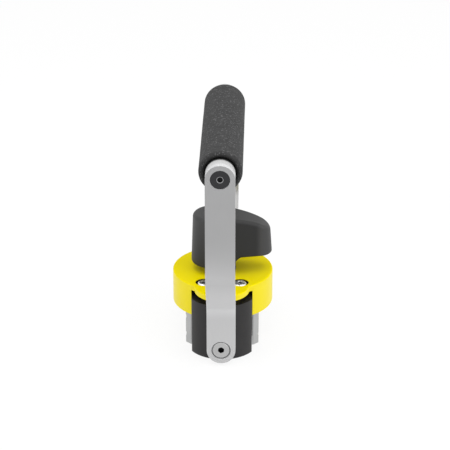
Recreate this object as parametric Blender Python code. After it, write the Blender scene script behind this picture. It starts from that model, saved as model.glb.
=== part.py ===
"""Magnetic hand lifter: two steel pole shoes round a switchable pair of disc magnets, a yellow cover
with a turning knob, and a swinging handle with a foam grip.

Metres, +Z up. The origin is at the middle of the working face, where the pole shoes touch the load.
The handle stands upright and swings about a line along Y. The knob turns about Z and points along +X.
"""

from math import acos, asin, atan2, ceil, cos, pi, radians, sin, sqrt

import bmesh
import bpy
from mathutils import Matrix, Vector

# Clearances
GAP = 0.0003
RUNNING_GAP = 0.0005
SEAT_GAP = 0.00015
CUT_PAST = 0.002

# Pole shoes
POLE_HALF_WIDTH = 0.0265
POLE_NOSE_RADIUS = 0.0308
POLE_NOSE_CENTRE = 0.0255
POLE_SPLIT = 0.0122
POLE_CHAMFER = 0.0006
MAGNET_RADIUS = 0.025
BORE_GAP = 0.0004

# Side walls
WALL_FLANGE = 0.0056
WALL_HALF_LENGTH = 0.0285
WALL_CORNER = 0.0045
WALL_LIFT = 0.0003
WALL_SCREW_Y = 0.0205
WALL_SCREW_HEIGHTS = (0.009, 0.026)

# Magnet stack, from the bottom up
BASE_PLATE_LIFT = 0.0003
BASE_PLATE_THICKNESS = 0.002
MAGNET_HEIGHT = 0.0195
SLIDE_DISC_THICKNESS = 0.0008
CARRIER_THICKNESS = 0.005
CARRIER_RECESS = 0.0025
THRUST_WASHER_THICKNESS = 0.0016
BUSH_FLANGE_THICKNESS = 0.0015
DOWEL_RADIUS = 0.0025
DOWEL_OFFSET = 0.017
DOWEL_IN_MAGNET = 0.010
STOP_PIN_RADIUS = 0.002
STOP_PIN_OFFSET = 0.020
STOP_PIN_HOLE_DEPTH = 0.003
STOP_GROOVE_DEPTH = 0.003
KNOB_TURN = radians(180)

# Cover
COVER_RADIUS = 0.0445
COVER_THICKNESS = 0.0107
COVER_SKIRT_DEPTH = 0.0295
COVER_PLATE = 0.0055
COVER_EDGE = 0.0012
LOBE_INSET = 0.0026
LOBE_OVERHANG = 0.0024
BOSS_INSET = 0.0012
BOSS_SETBACK = 0.014
SLIT_DEPTH = 0.0015
COVER_SCREW_INSET = 0.0083
COVER_SCREW_BACK = 0.0045
COUNTERBORE_RADIUS = 0.0075
COUNTERBORE_DEPTH = 0.0047

# Shaft, its bush and its seal
SHAFT_RADIUS = 0.008
SHAFT_FLANGE_RADIUS = 0.012
SHAFT_SQUARE = 0.013
SQUARE_STEP = 0.0006
SHAFT_CHAMFER = 0.0008
SHAFT_FLATS = 0.012
BUSH_WALL = 0.002
BUSH_FLANGE_RADIUS = 0.013
SEAL_SECTION = 0.0016
SEAL_HOUSING_DEPTH = 0.0041

# Knob
KNOB_HEEL_RADIUS = 0.0199
KNOB_HEEL_CENTRE = -0.008
KNOB_TIP_RADIUS = 0.0117
KNOB_TIP_CENTRE = 0.0319
KNOB_STANDOFF = 0.0071
KNOB_HEIGHT = 0.0465
KNOB_TIP_DROP = 0.0132
KNOB_DROP_POWER = 3.7
KNOB_DRAFT = 0.0014
KNOB_TOP_FILLET = 0.0034
KNOB_BOTTOM_FILLET = 0.002
KNOB_UNDERCUT = 0.0091
KNOB_UNDERCUT_START = 0.005
KNOB_UNDERCUT_END = 0.017
KNOB_NECK_RADIUS = 0.014
KNOB_SOCKET_DEPTH = 0.027
KNOB_SCREW_RECESS_RADIUS = 0.007
KNOB_SCREW_RECESS_DEPTH = 0.009

# Handle
PIVOT_HEIGHT = 0.015
GRIP_ABOVE_PIVOT = 0.174
ARM_WIDTH = 0.025
ARM_THICKNESS = 0.006
ARM_STANDOFF = 0.0052
ARM_OFFSET = 0.0305
ARM_BEND_LOW = 0.041
ARM_BEND_HIGH = 0.081
ARM_BEND_RADIUS = 0.012
ARM_EDGE = 0.0005
SPACER_RADIUS = 0.009
PIVOT_BUSH_RADIUS = 0.0067
SHOULDER_RADIUS = 0.005
GRIP_BAR_RADIUS = 0.0125
GRIP_BAR_SHOWN = 0.0097
FOAM_RADIUS = 0.018
FOAM_END_FILLET = 0.0025

# Fasteners
M4_RADIUS = 0.002
M4_HEAD_RADIUS = 0.0038
M4_LENGTH = 0.010
M4_SOCKET = 0.0025
M6_RADIUS = 0.003
M6_HEAD_RADIUS = 0.006
M6_HEAD_HEIGHT = 0.0042
M6_LENGTH = 0.018
M6_SOCKET_HEAD_RADIUS = 0.005
M6_SOCKET_HEAD_HEIGHT = 0.006
KNOB_SCREW_LENGTH = 0.028
M8_RADIUS = 0.004
M8_HEAD_RADIUS = 0.008
M8_THREAD_LENGTH = 0.014
M8_GRIP_LENGTH = 0.022
PIVOT_HEAD_HEIGHT = 0.0025
PIVOT_HEAD_EDGE = 0.0005
HEX_FLATS = 0.005
HEX_DEPTH = 0.002
HEAD_RIM = 0.08

# Facets, the edges that are shaded sharp, and the distance within which two points are one
FACET_ERROR = 0.00008
SMALL_FACET_ERROR = 0.00016
SMALL_ROUND = 0.010
LEAST_STEPS = 3
LOFT_STEPS = 9
FACE_RINGS = (0.62, 0.26)
SHARP_EDGE = radians(35)
BROKEN_EDGE = radians(58)
SEAM = 0.000001

# Heights and places that follow from the sizes above
BORE_RADIUS = MAGNET_RADIUS + BORE_GAP
POLE_NOSE = POLE_NOSE_CENTRE + POLE_NOSE_RADIUS
WALL_OUTER = POLE_HALF_WIDTH + GAP + WALL_FLANGE
BASE_PLATE_TOP = BASE_PLATE_LIFT + BASE_PLATE_THICKNESS
FIXED_MAGNET_BOTTOM = BASE_PLATE_TOP + GAP
SLIDE_DISC_BOTTOM = FIXED_MAGNET_BOTTOM + MAGNET_HEIGHT + GAP
TURNING_MAGNET_BOTTOM = SLIDE_DISC_BOTTOM + SLIDE_DISC_THICKNESS + GAP
CARRIER_BOTTOM = TURNING_MAGNET_BOTTOM + MAGNET_HEIGHT + GAP
CARRIER_TOP = CARRIER_BOTTOM + CARRIER_THICKNESS
THRUST_WASHER_BOTTOM = CARRIER_TOP + GAP
BUSH_FLANGE_BOTTOM = THRUST_WASHER_BOTTOM + THRUST_WASHER_THICKNESS + GAP
POLE_HEIGHT = BUSH_FLANGE_BOTTOM + BUSH_FLANGE_THICKNESS
COVER_UNDERSIDE = POLE_HEIGHT + GAP
COVER_TOP = COVER_UNDERSIDE + COVER_THICKNESS
COVER_SKIRT_BOTTOM = COVER_TOP - COVER_SKIRT_DEPTH
NOTCH_TOP = COVER_TOP - COVER_PLATE
NOTCH_HALF_WIDTH = POLE_HALF_WIDTH + GAP
LOBE_RADIUS = NOTCH_HALF_WIDTH - LOBE_INSET
LOBE_CENTRE = POLE_NOSE + LOBE_OVERHANG - LOBE_RADIUS
BOSS_RADIUS = LOBE_RADIUS - BOSS_INSET
BOSS_CENTRE = LOBE_CENTRE - BOSS_SETBACK
COVER_SCREW_X = LOBE_RADIUS - COVER_SCREW_INSET
COVER_SCREW_Y = LOBE_CENTRE - COVER_SCREW_BACK
BUSH_RADIUS = SHAFT_RADIUS + GAP + BUSH_WALL
SEAL_FLOOR = COVER_TOP - SEAL_HOUSING_DEPTH
SEAL_MAJOR = SHAFT_RADIUS + GAP + SEAL_SECTION
SEAL_HOUSING_RADIUS = SEAL_MAJOR + SEAL_SECTION + GAP
KNOB_BOTTOM = COVER_TOP + KNOB_STANDOFF
KNOB_TOP = KNOB_BOTTOM + KNOB_HEIGHT
KNOB_NECK_BOTTOM = COVER_TOP + RUNNING_GAP
SOCKET_TOP = KNOB_NECK_BOTTOM + KNOB_SOCKET_DEPTH
SHAFT_TOP = SOCKET_TOP - RUNNING_GAP
KNOB_SCREW_SEAT = KNOB_TOP - KNOB_SCREW_RECESS_DEPTH
COUNTERBORE_FLOOR = COVER_TOP - COUNTERBORE_DEPTH
SPACER_SEAT = POLE_NOSE_CENTRE + sqrt(POLE_NOSE_RADIUS ** 2 - (SPACER_RADIUS + GAP) ** 2)
ARM_INNER_LOW = POLE_NOSE + ARM_STANDOFF
ARM_OUTER_LOW = ARM_INNER_LOW + ARM_THICKNESS
ARM_INNER_HIGH = ARM_INNER_LOW + ARM_OFFSET
ARM_OUTER_HIGH = ARM_OUTER_LOW + ARM_OFFSET
PIVOT_HEAD_SEAT = ARM_OUTER_LOW - PIVOT_HEAD_HEIGHT - GAP


# Outlines

def facets(radius, sweep=2 * pi):
    """How many flats keep within the facet error of a round. A whole circle has a multiple of four."""
    error = FACET_ERROR if radius > SMALL_ROUND else SMALL_FACET_ERROR
    flat = 2 * acos(1 - error / radius)
    if sweep < 2 * pi:
        return max(LEAST_STEPS, ceil(sweep / flat))
    return 4 * max(LEAST_STEPS, ceil(sweep / flat / 4))


def arc(centre, radius, start, end, steps=None):
    """Points on an arc, both ends included, with angles in radians from +X."""
    steps = steps or facets(radius, abs(end - start))
    angles = [start + (end - start) * i / steps for i in range(steps + 1)]
    return [(centre[0] + radius * cos(a), centre[1] + radius * sin(a)) for a in angles]


def square_outline(side):
    half = side / 2
    return [(half, half), (-half, half), (-half, -half), (half, -half)]


def mirrored_x(outline):
    return [(-x, y) for x, y in reversed(outline)]


# Meshes

def prism(outline, bottom, top):
    """A closed outline in XY drawn up from bottom to top."""
    bm = bmesh.new()
    face = bm.faces.new([bm.verts.new((x, y, bottom)) for x, y in outline])
    drawn = bmesh.ops.extrude_face_region(bm, geom=[face])
    lid = [item for item in drawn["geom"] if isinstance(item, bmesh.types.BMVert)]
    bmesh.ops.translate(bm, verts=lid, vec=(0, 0, top - bottom))
    bmesh.ops.recalc_face_normals(bm, faces=bm.faces)
    return bm


def turned(profile, segments=None):
    """A profile of (radius, height) points spun about Z. It is closed, or it starts and ends on Z."""
    segments = segments or facets(max(radius for radius, height in profile))
    bm = bmesh.new()
    verts = [bm.verts.new((radius, 0, height)) for radius, height in profile]
    edges = [bm.edges.new(pair) for pair in zip(verts, verts[1:])]
    if profile[0][0] > 0:
        edges.append(bm.edges.new((verts[-1], verts[0])))
    bmesh.ops.spin(bm, geom=verts + edges, axis=(0, 0, 1), cent=(0, 0, 0), angle=2 * pi, steps=segments)
    bmesh.ops.remove_doubles(bm, verts=bm.verts, dist=SEAM)
    bmesh.ops.recalc_face_normals(bm, faces=bm.faces)
    return bm


def cylinder(radius, bottom, top):
    return turned([(0, bottom), (radius, bottom), (radius, top), (0, top)])


def ring(inner, outer, bottom, top):
    return turned([(inner, bottom), (outer, bottom), (outer, top), (inner, top)])


def stepped(narrow, wide, bottom, step, top):
    """A round cutter that is wider above its step."""
    return turned([(0, bottom), (narrow, bottom), (narrow, step), (wide, step), (wide, top), (0, top)])


def hexagon(flats, bottom, top):
    corner = flats / sqrt(3)
    return turned([(0, bottom), (corner, bottom), (corner, top), (0, top)], 6)


def box(low, high):
    plan = [(low[0], low[1]), (high[0], low[1]), (high[0], high[1]), (low[0], high[1])]
    return prism(plan, low[2], high[2])


def moved(bm, x=0.0, y=0.0, z=0.0):
    bmesh.ops.translate(bm, verts=bm.verts, vec=(x, y, z))
    return bm


def outward_y(bm):
    """Lays a piece made along +Z on its side, so that its height runs towards -Y."""
    bmesh.ops.rotate(bm, verts=bm.verts, cent=(0, 0, 0), matrix=Matrix.Rotation(pi / 2, 3, "X"))
    return bm


def outward_x(bm):
    """Lays a piece made along +Z on its side, so that its height runs towards +X."""
    bmesh.ops.rotate(bm, verts=bm.verts, cent=(0, 0, 0), matrix=Matrix.Rotation(pi / 2, 3, "Y"))
    return bm


def chamfered(bm, width):
    """Breaks the sharp edges of a plain solid."""
    edges = [edge for edge in bm.edges if edge.calc_face_angle(0) > BROKEN_EDGE]
    bmesh.ops.bevel(bm, geom=edges, offset=width, segments=1, affect="EDGES", clamp_overlap=True)
    return bm


# Booleans

def as_mesh(bm, name):
    mesh = bpy.data.meshes.new(name)
    bm.to_mesh(mesh)
    bm.free()
    return mesh


def combined(base, tools, operation):
    """One mesh from a solid and the tools that cut it or join it, with the exact solver."""
    body = bpy.data.objects.new("body", as_mesh(base, "body"))
    bpy.context.collection.objects.link(body)
    guides = []
    for tool in tools:
        guide = bpy.data.objects.new("guide", as_mesh(tool, "guide"))
        guide.hide_render = True
        guide.display_type = "WIRE"
        bpy.context.collection.objects.link(guide)
        guides.append(guide)
        step = body.modifiers.new(operation.lower(), "BOOLEAN")
        step.operation = operation
        step.solver = "EXACT"
        step.object = guide
    depsgraph = bpy.context.evaluated_depsgraph_get()
    result = bmesh.new()
    result.from_object(body, depsgraph)
    for scrap in [body] + guides:
        bpy.data.objects.remove(scrap)
    bmesh.ops.remove_doubles(result, verts=result.verts, dist=SEAM / 5)
    bmesh.ops.dissolve_degenerate(result, edges=result.edges, dist=SEAM / 5)
    return result


def cut(base, *tools):
    return combined(base, tools, "DIFFERENCE")


def joined(base, *tools):
    return combined(base, tools, "UNION")


# Materials and objects

def material(name, colour, roughness, metallic):
    made = bpy.data.materials.new(name)
    made.use_nodes = True
    shader = made.node_tree.nodes["Principled BSDF"]
    shader.inputs["Base Color"].default_value = (*colour, 1.0)
    shader.inputs["Roughness"].default_value = roughness
    shader.inputs["Metallic"].default_value = metallic
    made.diffuse_color = (*colour, 1.0)
    return made


FINISHES = {
    "black_steel": ((0.030, 0.031, 0.034), 0.42, 0.6),
    "bare_aluminium": ((0.62, 0.63, 0.65), 0.38, 1.0),
    "brushed_aluminium": ((0.50, 0.51, 0.52), 0.40, 0.9),
    "yellow_paint": ((0.86, 0.70, 0.010), 0.32, 0.0),
    "black_plastic": ((0.022, 0.023, 0.026), 0.55, 0.0),
    "black_foam": ((0.026, 0.028, 0.031), 0.92, 0.0),
    "zinc_steel": ((0.60, 0.60, 0.58), 0.28, 1.0),
    "black_screw": ((0.020, 0.020, 0.022), 0.35, 0.7),
    "nickel_magnet": ((0.56, 0.54, 0.50), 0.22, 1.0),
    "bronze": ((0.52, 0.33, 0.14), 0.35, 1.0),
    "black_rubber": ((0.012, 0.012, 0.012), 0.75, 0.0),
    "slide_plastic": ((0.80, 0.80, 0.76), 0.50, 0.0),
}


def axis_empty(name, location):
    empty = bpy.data.objects.new(name, None)
    empty.empty_display_size = COVER_RADIUS
    empty.location = location
    bpy.context.collection.objects.link(empty)
    return empty


def piece(name, mesh, finish, parent=None, location=(0, 0, 0), turn=0.0):
    """A named piece, smooth where it is round, with a material of its own."""
    mesh = mesh.copy() if mesh.users else mesh
    mesh.name = name
    mesh.shade_smooth()
    mesh.set_sharp_from_angle(angle=SHARP_EDGE)
    mesh.materials.clear()
    mesh.materials.append(material(name, *FINISHES[finish]))
    made = bpy.data.objects.new(name, mesh)
    made.location = location
    made.rotation_euler.z = turn
    made.parent = parent
    bpy.context.collection.objects.link(made)
    return made


def front_and_rear(name, mesh, finish, parent=None, location=(0, 0, 0)):
    """The same piece at the front and, turned half round, at the rear."""
    piece("front_" + name, mesh, finish, parent, location)
    piece("rear_" + name, mesh, finish, parent, location, pi)


# Housing

def pole_shoe():
    """Front pole shoe: the magnet's bore behind, a convex nose in front, and a flat seat at the pivot."""
    bore_angle = asin(POLE_SPLIT / BORE_RADIUS)
    nose_angle = acos(POLE_HALF_WIDTH / POLE_NOSE_RADIUS)
    outline = arc((0, 0), BORE_RADIUS, -bore_angle, bore_angle - pi)
    outline.append((-POLE_HALF_WIDTH, -POLE_SPLIT))
    outline += arc((0, -POLE_NOSE_CENTRE), POLE_NOSE_RADIUS, nose_angle - pi, -nose_angle)
    outline.append((POLE_HALF_WIDTH, -POLE_SPLIT))
    shoe = chamfered(prism(outline, 0, POLE_HEIGHT), POLE_CHAMFER)
    thread_end = SPACER_SEAT - M8_THREAD_LENGTH - GAP
    seat = stepped(M8_RADIUS + GAP, SPACER_RADIUS + GAP, thread_end, SPACER_SEAT, POLE_NOSE + CUT_PAST)
    tools = [moved(outward_y(seat), z=PIVOT_HEIGHT)]
    bottom = COUNTERBORE_FLOOR + GAP - M6_LENGTH - GAP
    for side in (-1, 1):
        hole = cylinder(M6_RADIUS + GAP, bottom, POLE_HEIGHT + CUT_PAST)
        tools.append(moved(hole, side * COVER_SCREW_X, -COVER_SCREW_Y))
        for height in WALL_SCREW_HEIGHTS:
            near, far = sorted((side * (WALL_OUTER - M4_LENGTH - GAP), side * WALL_OUTER))
            tapped = outward_x(cylinder(M4_RADIUS + GAP, near, far))
            tools.append(moved(tapped, 0, -WALL_SCREW_Y, height))
    return cut(shoe, *tools)


def side_wall():
    """Right side wall: a tongue between the pole shoes and a flange over their sides."""
    tongue = POLE_SPLIT - GAP
    flange = POLE_HALF_WIDTH + GAP
    reach = asin(tongue / BORE_RADIUS)
    corner = WALL_OUTER - WALL_CORNER
    outline = arc((0, 0), BORE_RADIUS, -reach, reach)
    outline += [(flange, tongue), (flange, WALL_HALF_LENGTH), (corner, WALL_HALF_LENGTH)]
    outline += [(WALL_OUTER, WALL_HALF_LENGTH - WALL_CORNER), (WALL_OUTER, WALL_CORNER - WALL_HALF_LENGTH)]
    outline += [(corner, -WALL_HALF_LENGTH), (flange, -WALL_HALF_LENGTH), (flange, -tongue)]
    wall = prism(outline, WALL_LIFT, POLE_HEIGHT)
    tools = []
    for y in (-WALL_SCREW_Y, WALL_SCREW_Y):
        for height in WALL_SCREW_HEIGHTS:
            hole = countersunk_clearance(M4_RADIUS, M4_HEAD_RADIUS, WALL_OUTER, M4_LENGTH)
            tools.append(moved(outward_x(hole), y=y, z=height))
    return cut(wall, *tools)


def countersunk_clearance(shank, head, face, length):
    """The hole for a countersunk screw whose head lies just under a face."""
    rim_bottom = face - GAP - SEAT_GAP - HEAD_RIM * head
    return turned([
        (0, face - length - GAP),
        (shank + GAP, face - length - GAP),
        (shank + GAP, rim_bottom - head + shank),
        (head + GAP, rim_bottom),
        (head + GAP, face + CUT_PAST),
        (0, face + CUT_PAST),
    ])


def countersunk_screw(shank, head, face, length, socket):
    """A countersunk screw along +Z with its head just under a face, and a hexagon socket in it."""
    top = face - GAP
    rim = HEAD_RIM * head
    body = turned([
        (0, face - length),
        (shank - rim, face - length),
        (shank, face - length + rim),
        (shank, top - rim - head + shank),
        (head, top - rim),
        (head, top),
        (0, top),
    ])
    return cut(body, hexagon(socket, top - socket * HEX_DEPTH / HEX_FLATS, top + CUT_PAST))


# Magnet stack

def turning_magnet():
    magnet = cylinder(MAGNET_RADIUS, TURNING_MAGNET_BOTTOM, TURNING_MAGNET_BOTTOM + MAGNET_HEIGHT)
    top = TURNING_MAGNET_BOTTOM + MAGNET_HEIGHT
    holes = [dowel(top - DOWEL_IN_MAGNET - GAP, top + CUT_PAST, side, GAP) for side in (-1, 1)]
    return cut(magnet, *holes)


def dowel(bottom, top, side, clearance=0.0):
    return moved(cylinder(DOWEL_RADIUS + clearance, bottom, top), x=side * DOWEL_OFFSET)


def stop_pin(clearance=0.0):
    """The pin that stands in the carrier and runs in the cover's groove."""
    bottom = CARRIER_TOP - STOP_PIN_HOLE_DEPTH
    top = COVER_UNDERSIDE + STOP_GROOVE_DEPTH - RUNNING_GAP
    pin = cylinder(STOP_PIN_RADIUS + clearance, bottom - clearance, top)
    return moved(pin, y=STOP_PIN_OFFSET)


def magnet_carrier():
    """The plate that the shaft turns, with a recess under it for the shaft's flange."""
    plate = cylinder(MAGNET_RADIUS, CARRIER_BOTTOM, CARRIER_TOP)
    square = prism(square_outline(SHAFT_SQUARE + 2 * GAP), CARRIER_BOTTOM - CUT_PAST, CARRIER_TOP + CUT_PAST)
    recess_top = CARRIER_BOTTOM + CARRIER_RECESS
    recess = cylinder(SHAFT_FLANGE_RADIUS + GAP, CARRIER_BOTTOM - CUT_PAST, recess_top)
    holes = [dowel(CARRIER_BOTTOM - CUT_PAST, CARRIER_TOP + CUT_PAST, side, GAP) for side in (-1, 1)]
    return cut(plate, square, recess, stop_pin(GAP), *holes)


def drive_shaft():
    """Flange, square for the carrier, round journal, and two flats for the knob."""
    flange_top = CARRIER_BOTTOM + CARRIER_RECESS - GAP
    core = SHAFT_SQUARE / 2 - SQUARE_STEP
    journal_bottom = CARRIER_TOP + SQUARE_STEP / 2
    shaft = turned([
        (0, CARRIER_BOTTOM),
        (SHAFT_FLANGE_RADIUS, CARRIER_BOTTOM),
        (SHAFT_FLANGE_RADIUS, flange_top),
        (core, flange_top),
        (core, journal_bottom),
        (SHAFT_RADIUS, journal_bottom),
        (SHAFT_RADIUS, SHAFT_TOP - SHAFT_CHAMFER),
        (SHAFT_RADIUS - SHAFT_CHAMFER, SHAFT_TOP),
        (0, SHAFT_TOP),
    ])
    square = prism(square_outline(SHAFT_SQUARE), flange_top - SQUARE_STEP, CARRIER_TOP + SQUARE_STEP)
    reach = 2 * SHAFT_RADIUS
    flats = []
    for side in (-1, 1):
        near, far = sorted((side * SHAFT_FLATS / 2, side * reach))
        flats.append(box((-reach, near, COVER_TOP), (reach, far, SHAFT_TOP + CUT_PAST)))
    bottom = KNOB_SCREW_SEAT - KNOB_SCREW_LENGTH
    thread = cylinder(M6_RADIUS + GAP, bottom, SHAFT_TOP + CUT_PAST)
    return cut(joined(shaft, square), thread, *flats)


def shaft_bush():
    inner = SHAFT_RADIUS + GAP
    flange_top = BUSH_FLANGE_BOTTOM + BUSH_FLANGE_THICKNESS
    top = SEAL_FLOOR - GAP
    return turned([
        (inner, BUSH_FLANGE_BOTTOM),
        (BUSH_FLANGE_RADIUS, BUSH_FLANGE_BOTTOM),
        (BUSH_FLANGE_RADIUS, flange_top),
        (BUSH_RADIUS, flange_top),
        (BUSH_RADIUS, top),
        (inner, top),
    ])


def shaft_seal():
    height = SEAL_FLOOR + GAP + SEAL_SECTION
    return turned(arc((SEAL_MAJOR, height), SEAL_SECTION, 0, 2 * pi)[:-1])


# Cover

def notch_outline():
    """The front notch below the plate: open in front, with the screw boss in it and a slit each side."""
    wall = NOTCH_HALF_WIDTH
    slit = (wall - BOSS_RADIUS) / 2
    middle = BOSS_RADIUS + slit
    depth = BOSS_CENTRE - SLIT_DEPTH
    far = COVER_RADIUS + LOBE_RADIUS
    boss = arc((0, -BOSS_CENTRE), BOSS_RADIUS, -pi, 0)
    right = arc((middle, -depth), slit, pi, 0)
    return mirrored_x(right) + boss + right + [(wall, -far), (-wall, -far)]


def pocket_outline():
    """The hollow under the cover: the side walls fit across it, and it runs out below both bosses."""
    under_boss = (BOSS_RADIUS + NOTCH_HALF_WIDTH) / 2
    wall = WALL_OUTER + GAP
    end = WALL_HALF_LENGTH + GAP
    corner = WALL_CORNER
    far = COVER_RADIUS + LOBE_RADIUS
    right = [
        (under_boss, -far),
        (under_boss, -end),
        (wall - corner, -end),
        (wall, corner - end),
        (wall, end - corner),
        (wall - corner, end),
        (under_boss, end),
        (under_boss, far),
    ]
    return right + mirrored_x(right)


def stop_groove():
    """The half-turn groove in the underside of the cover that the stop pin runs in."""
    half = STOP_PIN_RADIUS + RUNNING_GAP
    start = pi / 2
    end = start + KNOB_TURN
    first = (STOP_PIN_OFFSET * cos(start), STOP_PIN_OFFSET * sin(start))
    last = (STOP_PIN_OFFSET * cos(end), STOP_PIN_OFFSET * sin(end))
    outline = arc((0, 0), STOP_PIN_OFFSET + half, start, end)
    outline += arc(last, half, end, end + pi)[1:-1]
    outline += arc((0, 0), STOP_PIN_OFFSET - half, end, start)
    outline += arc(first, half, start + pi, start + 2 * pi)[1:-1]
    return prism(outline, COVER_UNDERSIDE - CUT_PAST, COVER_UNDERSIDE + STOP_GROOVE_DEPTH)


def cover_outline(inset):
    """The cover's plan: a disc with a lobe over each pole shoe."""
    disc = COVER_RADIUS - inset
    lobe = LOBE_RADIUS - inset
    meeting = (disc ** 2 - lobe ** 2 + LOBE_CENTRE ** 2) / (2 * LOBE_CENTRE)
    on_disc = asin(meeting / disc)
    on_lobe = asin((meeting - LOBE_CENTRE) / lobe)
    disc_steps = 2 * facets(COVER_RADIUS, pi / 3)
    lobe_steps = 2 * facets(LOBE_RADIUS, pi / 2)
    half = arc((0, 0), disc, -on_disc, on_disc, disc_steps)[:-1]
    half += arc((0, LOBE_CENTRE), lobe, on_lobe, pi - on_lobe, lobe_steps)[:-1]
    return half + [(-x, -y) for x, y in half]


def cover_block():
    """The cover's plan drawn up from the skirt to the top face, with a round edge there."""
    rings = [(0.0, COVER_SKIRT_BOTTOM)]
    rings += arc((COVER_EDGE, COVER_TOP - COVER_EDGE), COVER_EDGE, pi, pi / 2)
    bm = bmesh.new()
    loops = [[bm.verts.new((x, y, height)) for x, y in cover_outline(inset)] for inset, height in rings]
    for low, high in zip(loops, loops[1:]):
        for i in range(len(low)):
            after = (i + 1) % len(low)
            bm.faces.new((low[i], low[after], high[after], high[i]))
    bm.faces.new(loops[0])
    bm.faces.new(loops[-1])
    bmesh.ops.recalc_face_normals(bm, faces=bm.faces)
    return bm


def top_cover():
    """A round cover, notched below its plate for the pole shoes, with a lobe of the plate over each."""
    below = COVER_SKIRT_BOTTOM - CUT_PAST
    above = COVER_TOP + CUT_PAST
    hole_bottom = COVER_UNDERSIDE - CUT_PAST
    notch = notch_outline()
    tools = [
        prism(pocket_outline(), below, COVER_UNDERSIDE),
        prism(notch, below, NOTCH_TOP),
        prism([(-x, -y) for x, y in notch], below, NOTCH_TOP),
        stepped(BUSH_RADIUS + GAP, SEAL_HOUSING_RADIUS, hole_bottom, SEAL_FLOOR, above),
        stop_groove(),
    ]
    for x in (-COVER_SCREW_X, COVER_SCREW_X):
        for y in (-COVER_SCREW_Y, COVER_SCREW_Y):
            hole = stepped(M6_RADIUS + GAP, COUNTERBORE_RADIUS, hole_bottom, COUNTERBORE_FLOOR, above)
            tools.append(moved(hole, x, y))
    return cut(cover_block(), *tools)


def pan_head_screw():
    """An M6 pan head screw with its head seated in a counterbore of the cover."""
    seat = COUNTERBORE_FLOOR + GAP
    dome = M6_HEAD_HEIGHT / 2
    head = arc((M6_HEAD_RADIUS - dome, seat + dome), dome, 0, pi / 2)
    return turned([
        (0, seat - M6_LENGTH),
        (M6_RADIUS, seat - M6_LENGTH),
        (M6_RADIUS, seat),
        (M6_HEAD_RADIUS, seat),
        *head,
        (0, seat + M6_HEAD_HEIGHT),
    ])


# Knob

def knob_outline(inset):
    """The knob's plan: a broad round heel and a narrow round tip joined by straight flanks."""
    heel = KNOB_HEEL_RADIUS - inset
    tip = KNOB_TIP_RADIUS - inset
    taper = asin((heel - tip) / (KNOB_TIP_CENTRE - KNOB_HEEL_CENTRE))
    side = pi / 2 - taper
    heel_steps = facets(KNOB_HEEL_RADIUS, 2 * (pi - side))
    tip_steps = facets(KNOB_TIP_RADIUS, 2 * side)
    heel_arc = arc((KNOB_HEEL_CENTRE, 0), heel, side, 2 * pi - side, heel_steps)
    tip_arc = arc((KNOB_TIP_CENTRE, 0), tip, -side, side, tip_steps)
    return heel_arc + between(heel_arc[-1], tip_arc[0]) + tip_arc + between(tip_arc[-1], heel_arc[0])


def between(start, end):
    """Points that divide a straight line, without its ends."""
    shares = [i / LOFT_STEPS for i in range(1, LOFT_STEPS)]
    return [(start[0] + (end[0] - start[0]) * s, start[1] + (end[1] - start[1]) * s) for s in shares]


def knob_top(x):
    """The top face stays level over the heel and falls ever faster towards the tip."""
    heel_end = KNOB_HEEL_CENTRE - KNOB_HEEL_RADIUS
    length = KNOB_TIP_CENTRE + KNOB_TIP_RADIUS - heel_end
    return KNOB_TOP - KNOB_TIP_DROP * ((x - heel_end) / length) ** KNOB_DROP_POWER


def knob_underside(x):
    """The underside is low at the heel and rises to leave room for a finger under the tip."""
    share = (x - KNOB_UNDERCUT_START) / (KNOB_UNDERCUT_END - KNOB_UNDERCUT_START)
    share = min(1.0, max(0.0, share))
    return KNOB_BOTTOM + KNOB_UNDERCUT * share * share * (3 - 2 * share)


def shrunk(points, middle, share):
    """A ring of points drawn in towards the middle of the knob."""
    return [(middle + (x - middle) * share, y * share) for x, y, height in points]


def knob_body():
    """A loft of the plan up the drafted sides, with round edges above and below."""
    rings = []
    for inset, rise in arc((KNOB_BOTTOM_FILLET, KNOB_BOTTOM_FILLET), KNOB_BOTTOM_FILLET, -pi / 2, -pi):
        rings.append([(x, y, knob_underside(x) + rise) for x, y in knob_outline(inset)])
    shoulder = KNOB_DRAFT + KNOB_TOP_FILLET
    for inset, rise in arc((shoulder, -KNOB_TOP_FILLET), KNOB_TOP_FILLET, pi, pi / 2):
        rings.append([(x, y, knob_top(x) + rise) for x, y in knob_outline(inset)])
    middle = (KNOB_HEEL_CENTRE + KNOB_TIP_CENTRE) / 2
    rim = rings[-1]
    foot = rings[0]
    for share in FACE_RINGS:
        rings.append([(x, y, knob_top(x)) for x, y in shrunk(rim, middle, share)])
        rings.insert(0, [(x, y, knob_underside(x)) for x, y in shrunk(foot, middle, share)])
    bm = bmesh.new()
    loops = [[bm.verts.new(point) for point in points] for points in rings]
    count = len(loops[0])
    for low, high in zip(loops, loops[1:]):
        for i in range(count):
            after = (i + 1) % count
            bm.faces.new((low[i], low[after], high[after], high[i]))
    ends = (
        (loops[0], bm.verts.new((middle, 0, knob_underside(middle)))),
        (loops[-1], bm.verts.new((middle, 0, knob_top(middle)))),
    )
    for loop, centre in ends:
        for i in range(count):
            bm.faces.new((loop[i], loop[(i + 1) % count], centre))
    bmesh.ops.recalc_face_normals(bm, faces=bm.faces)
    return bm


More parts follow.
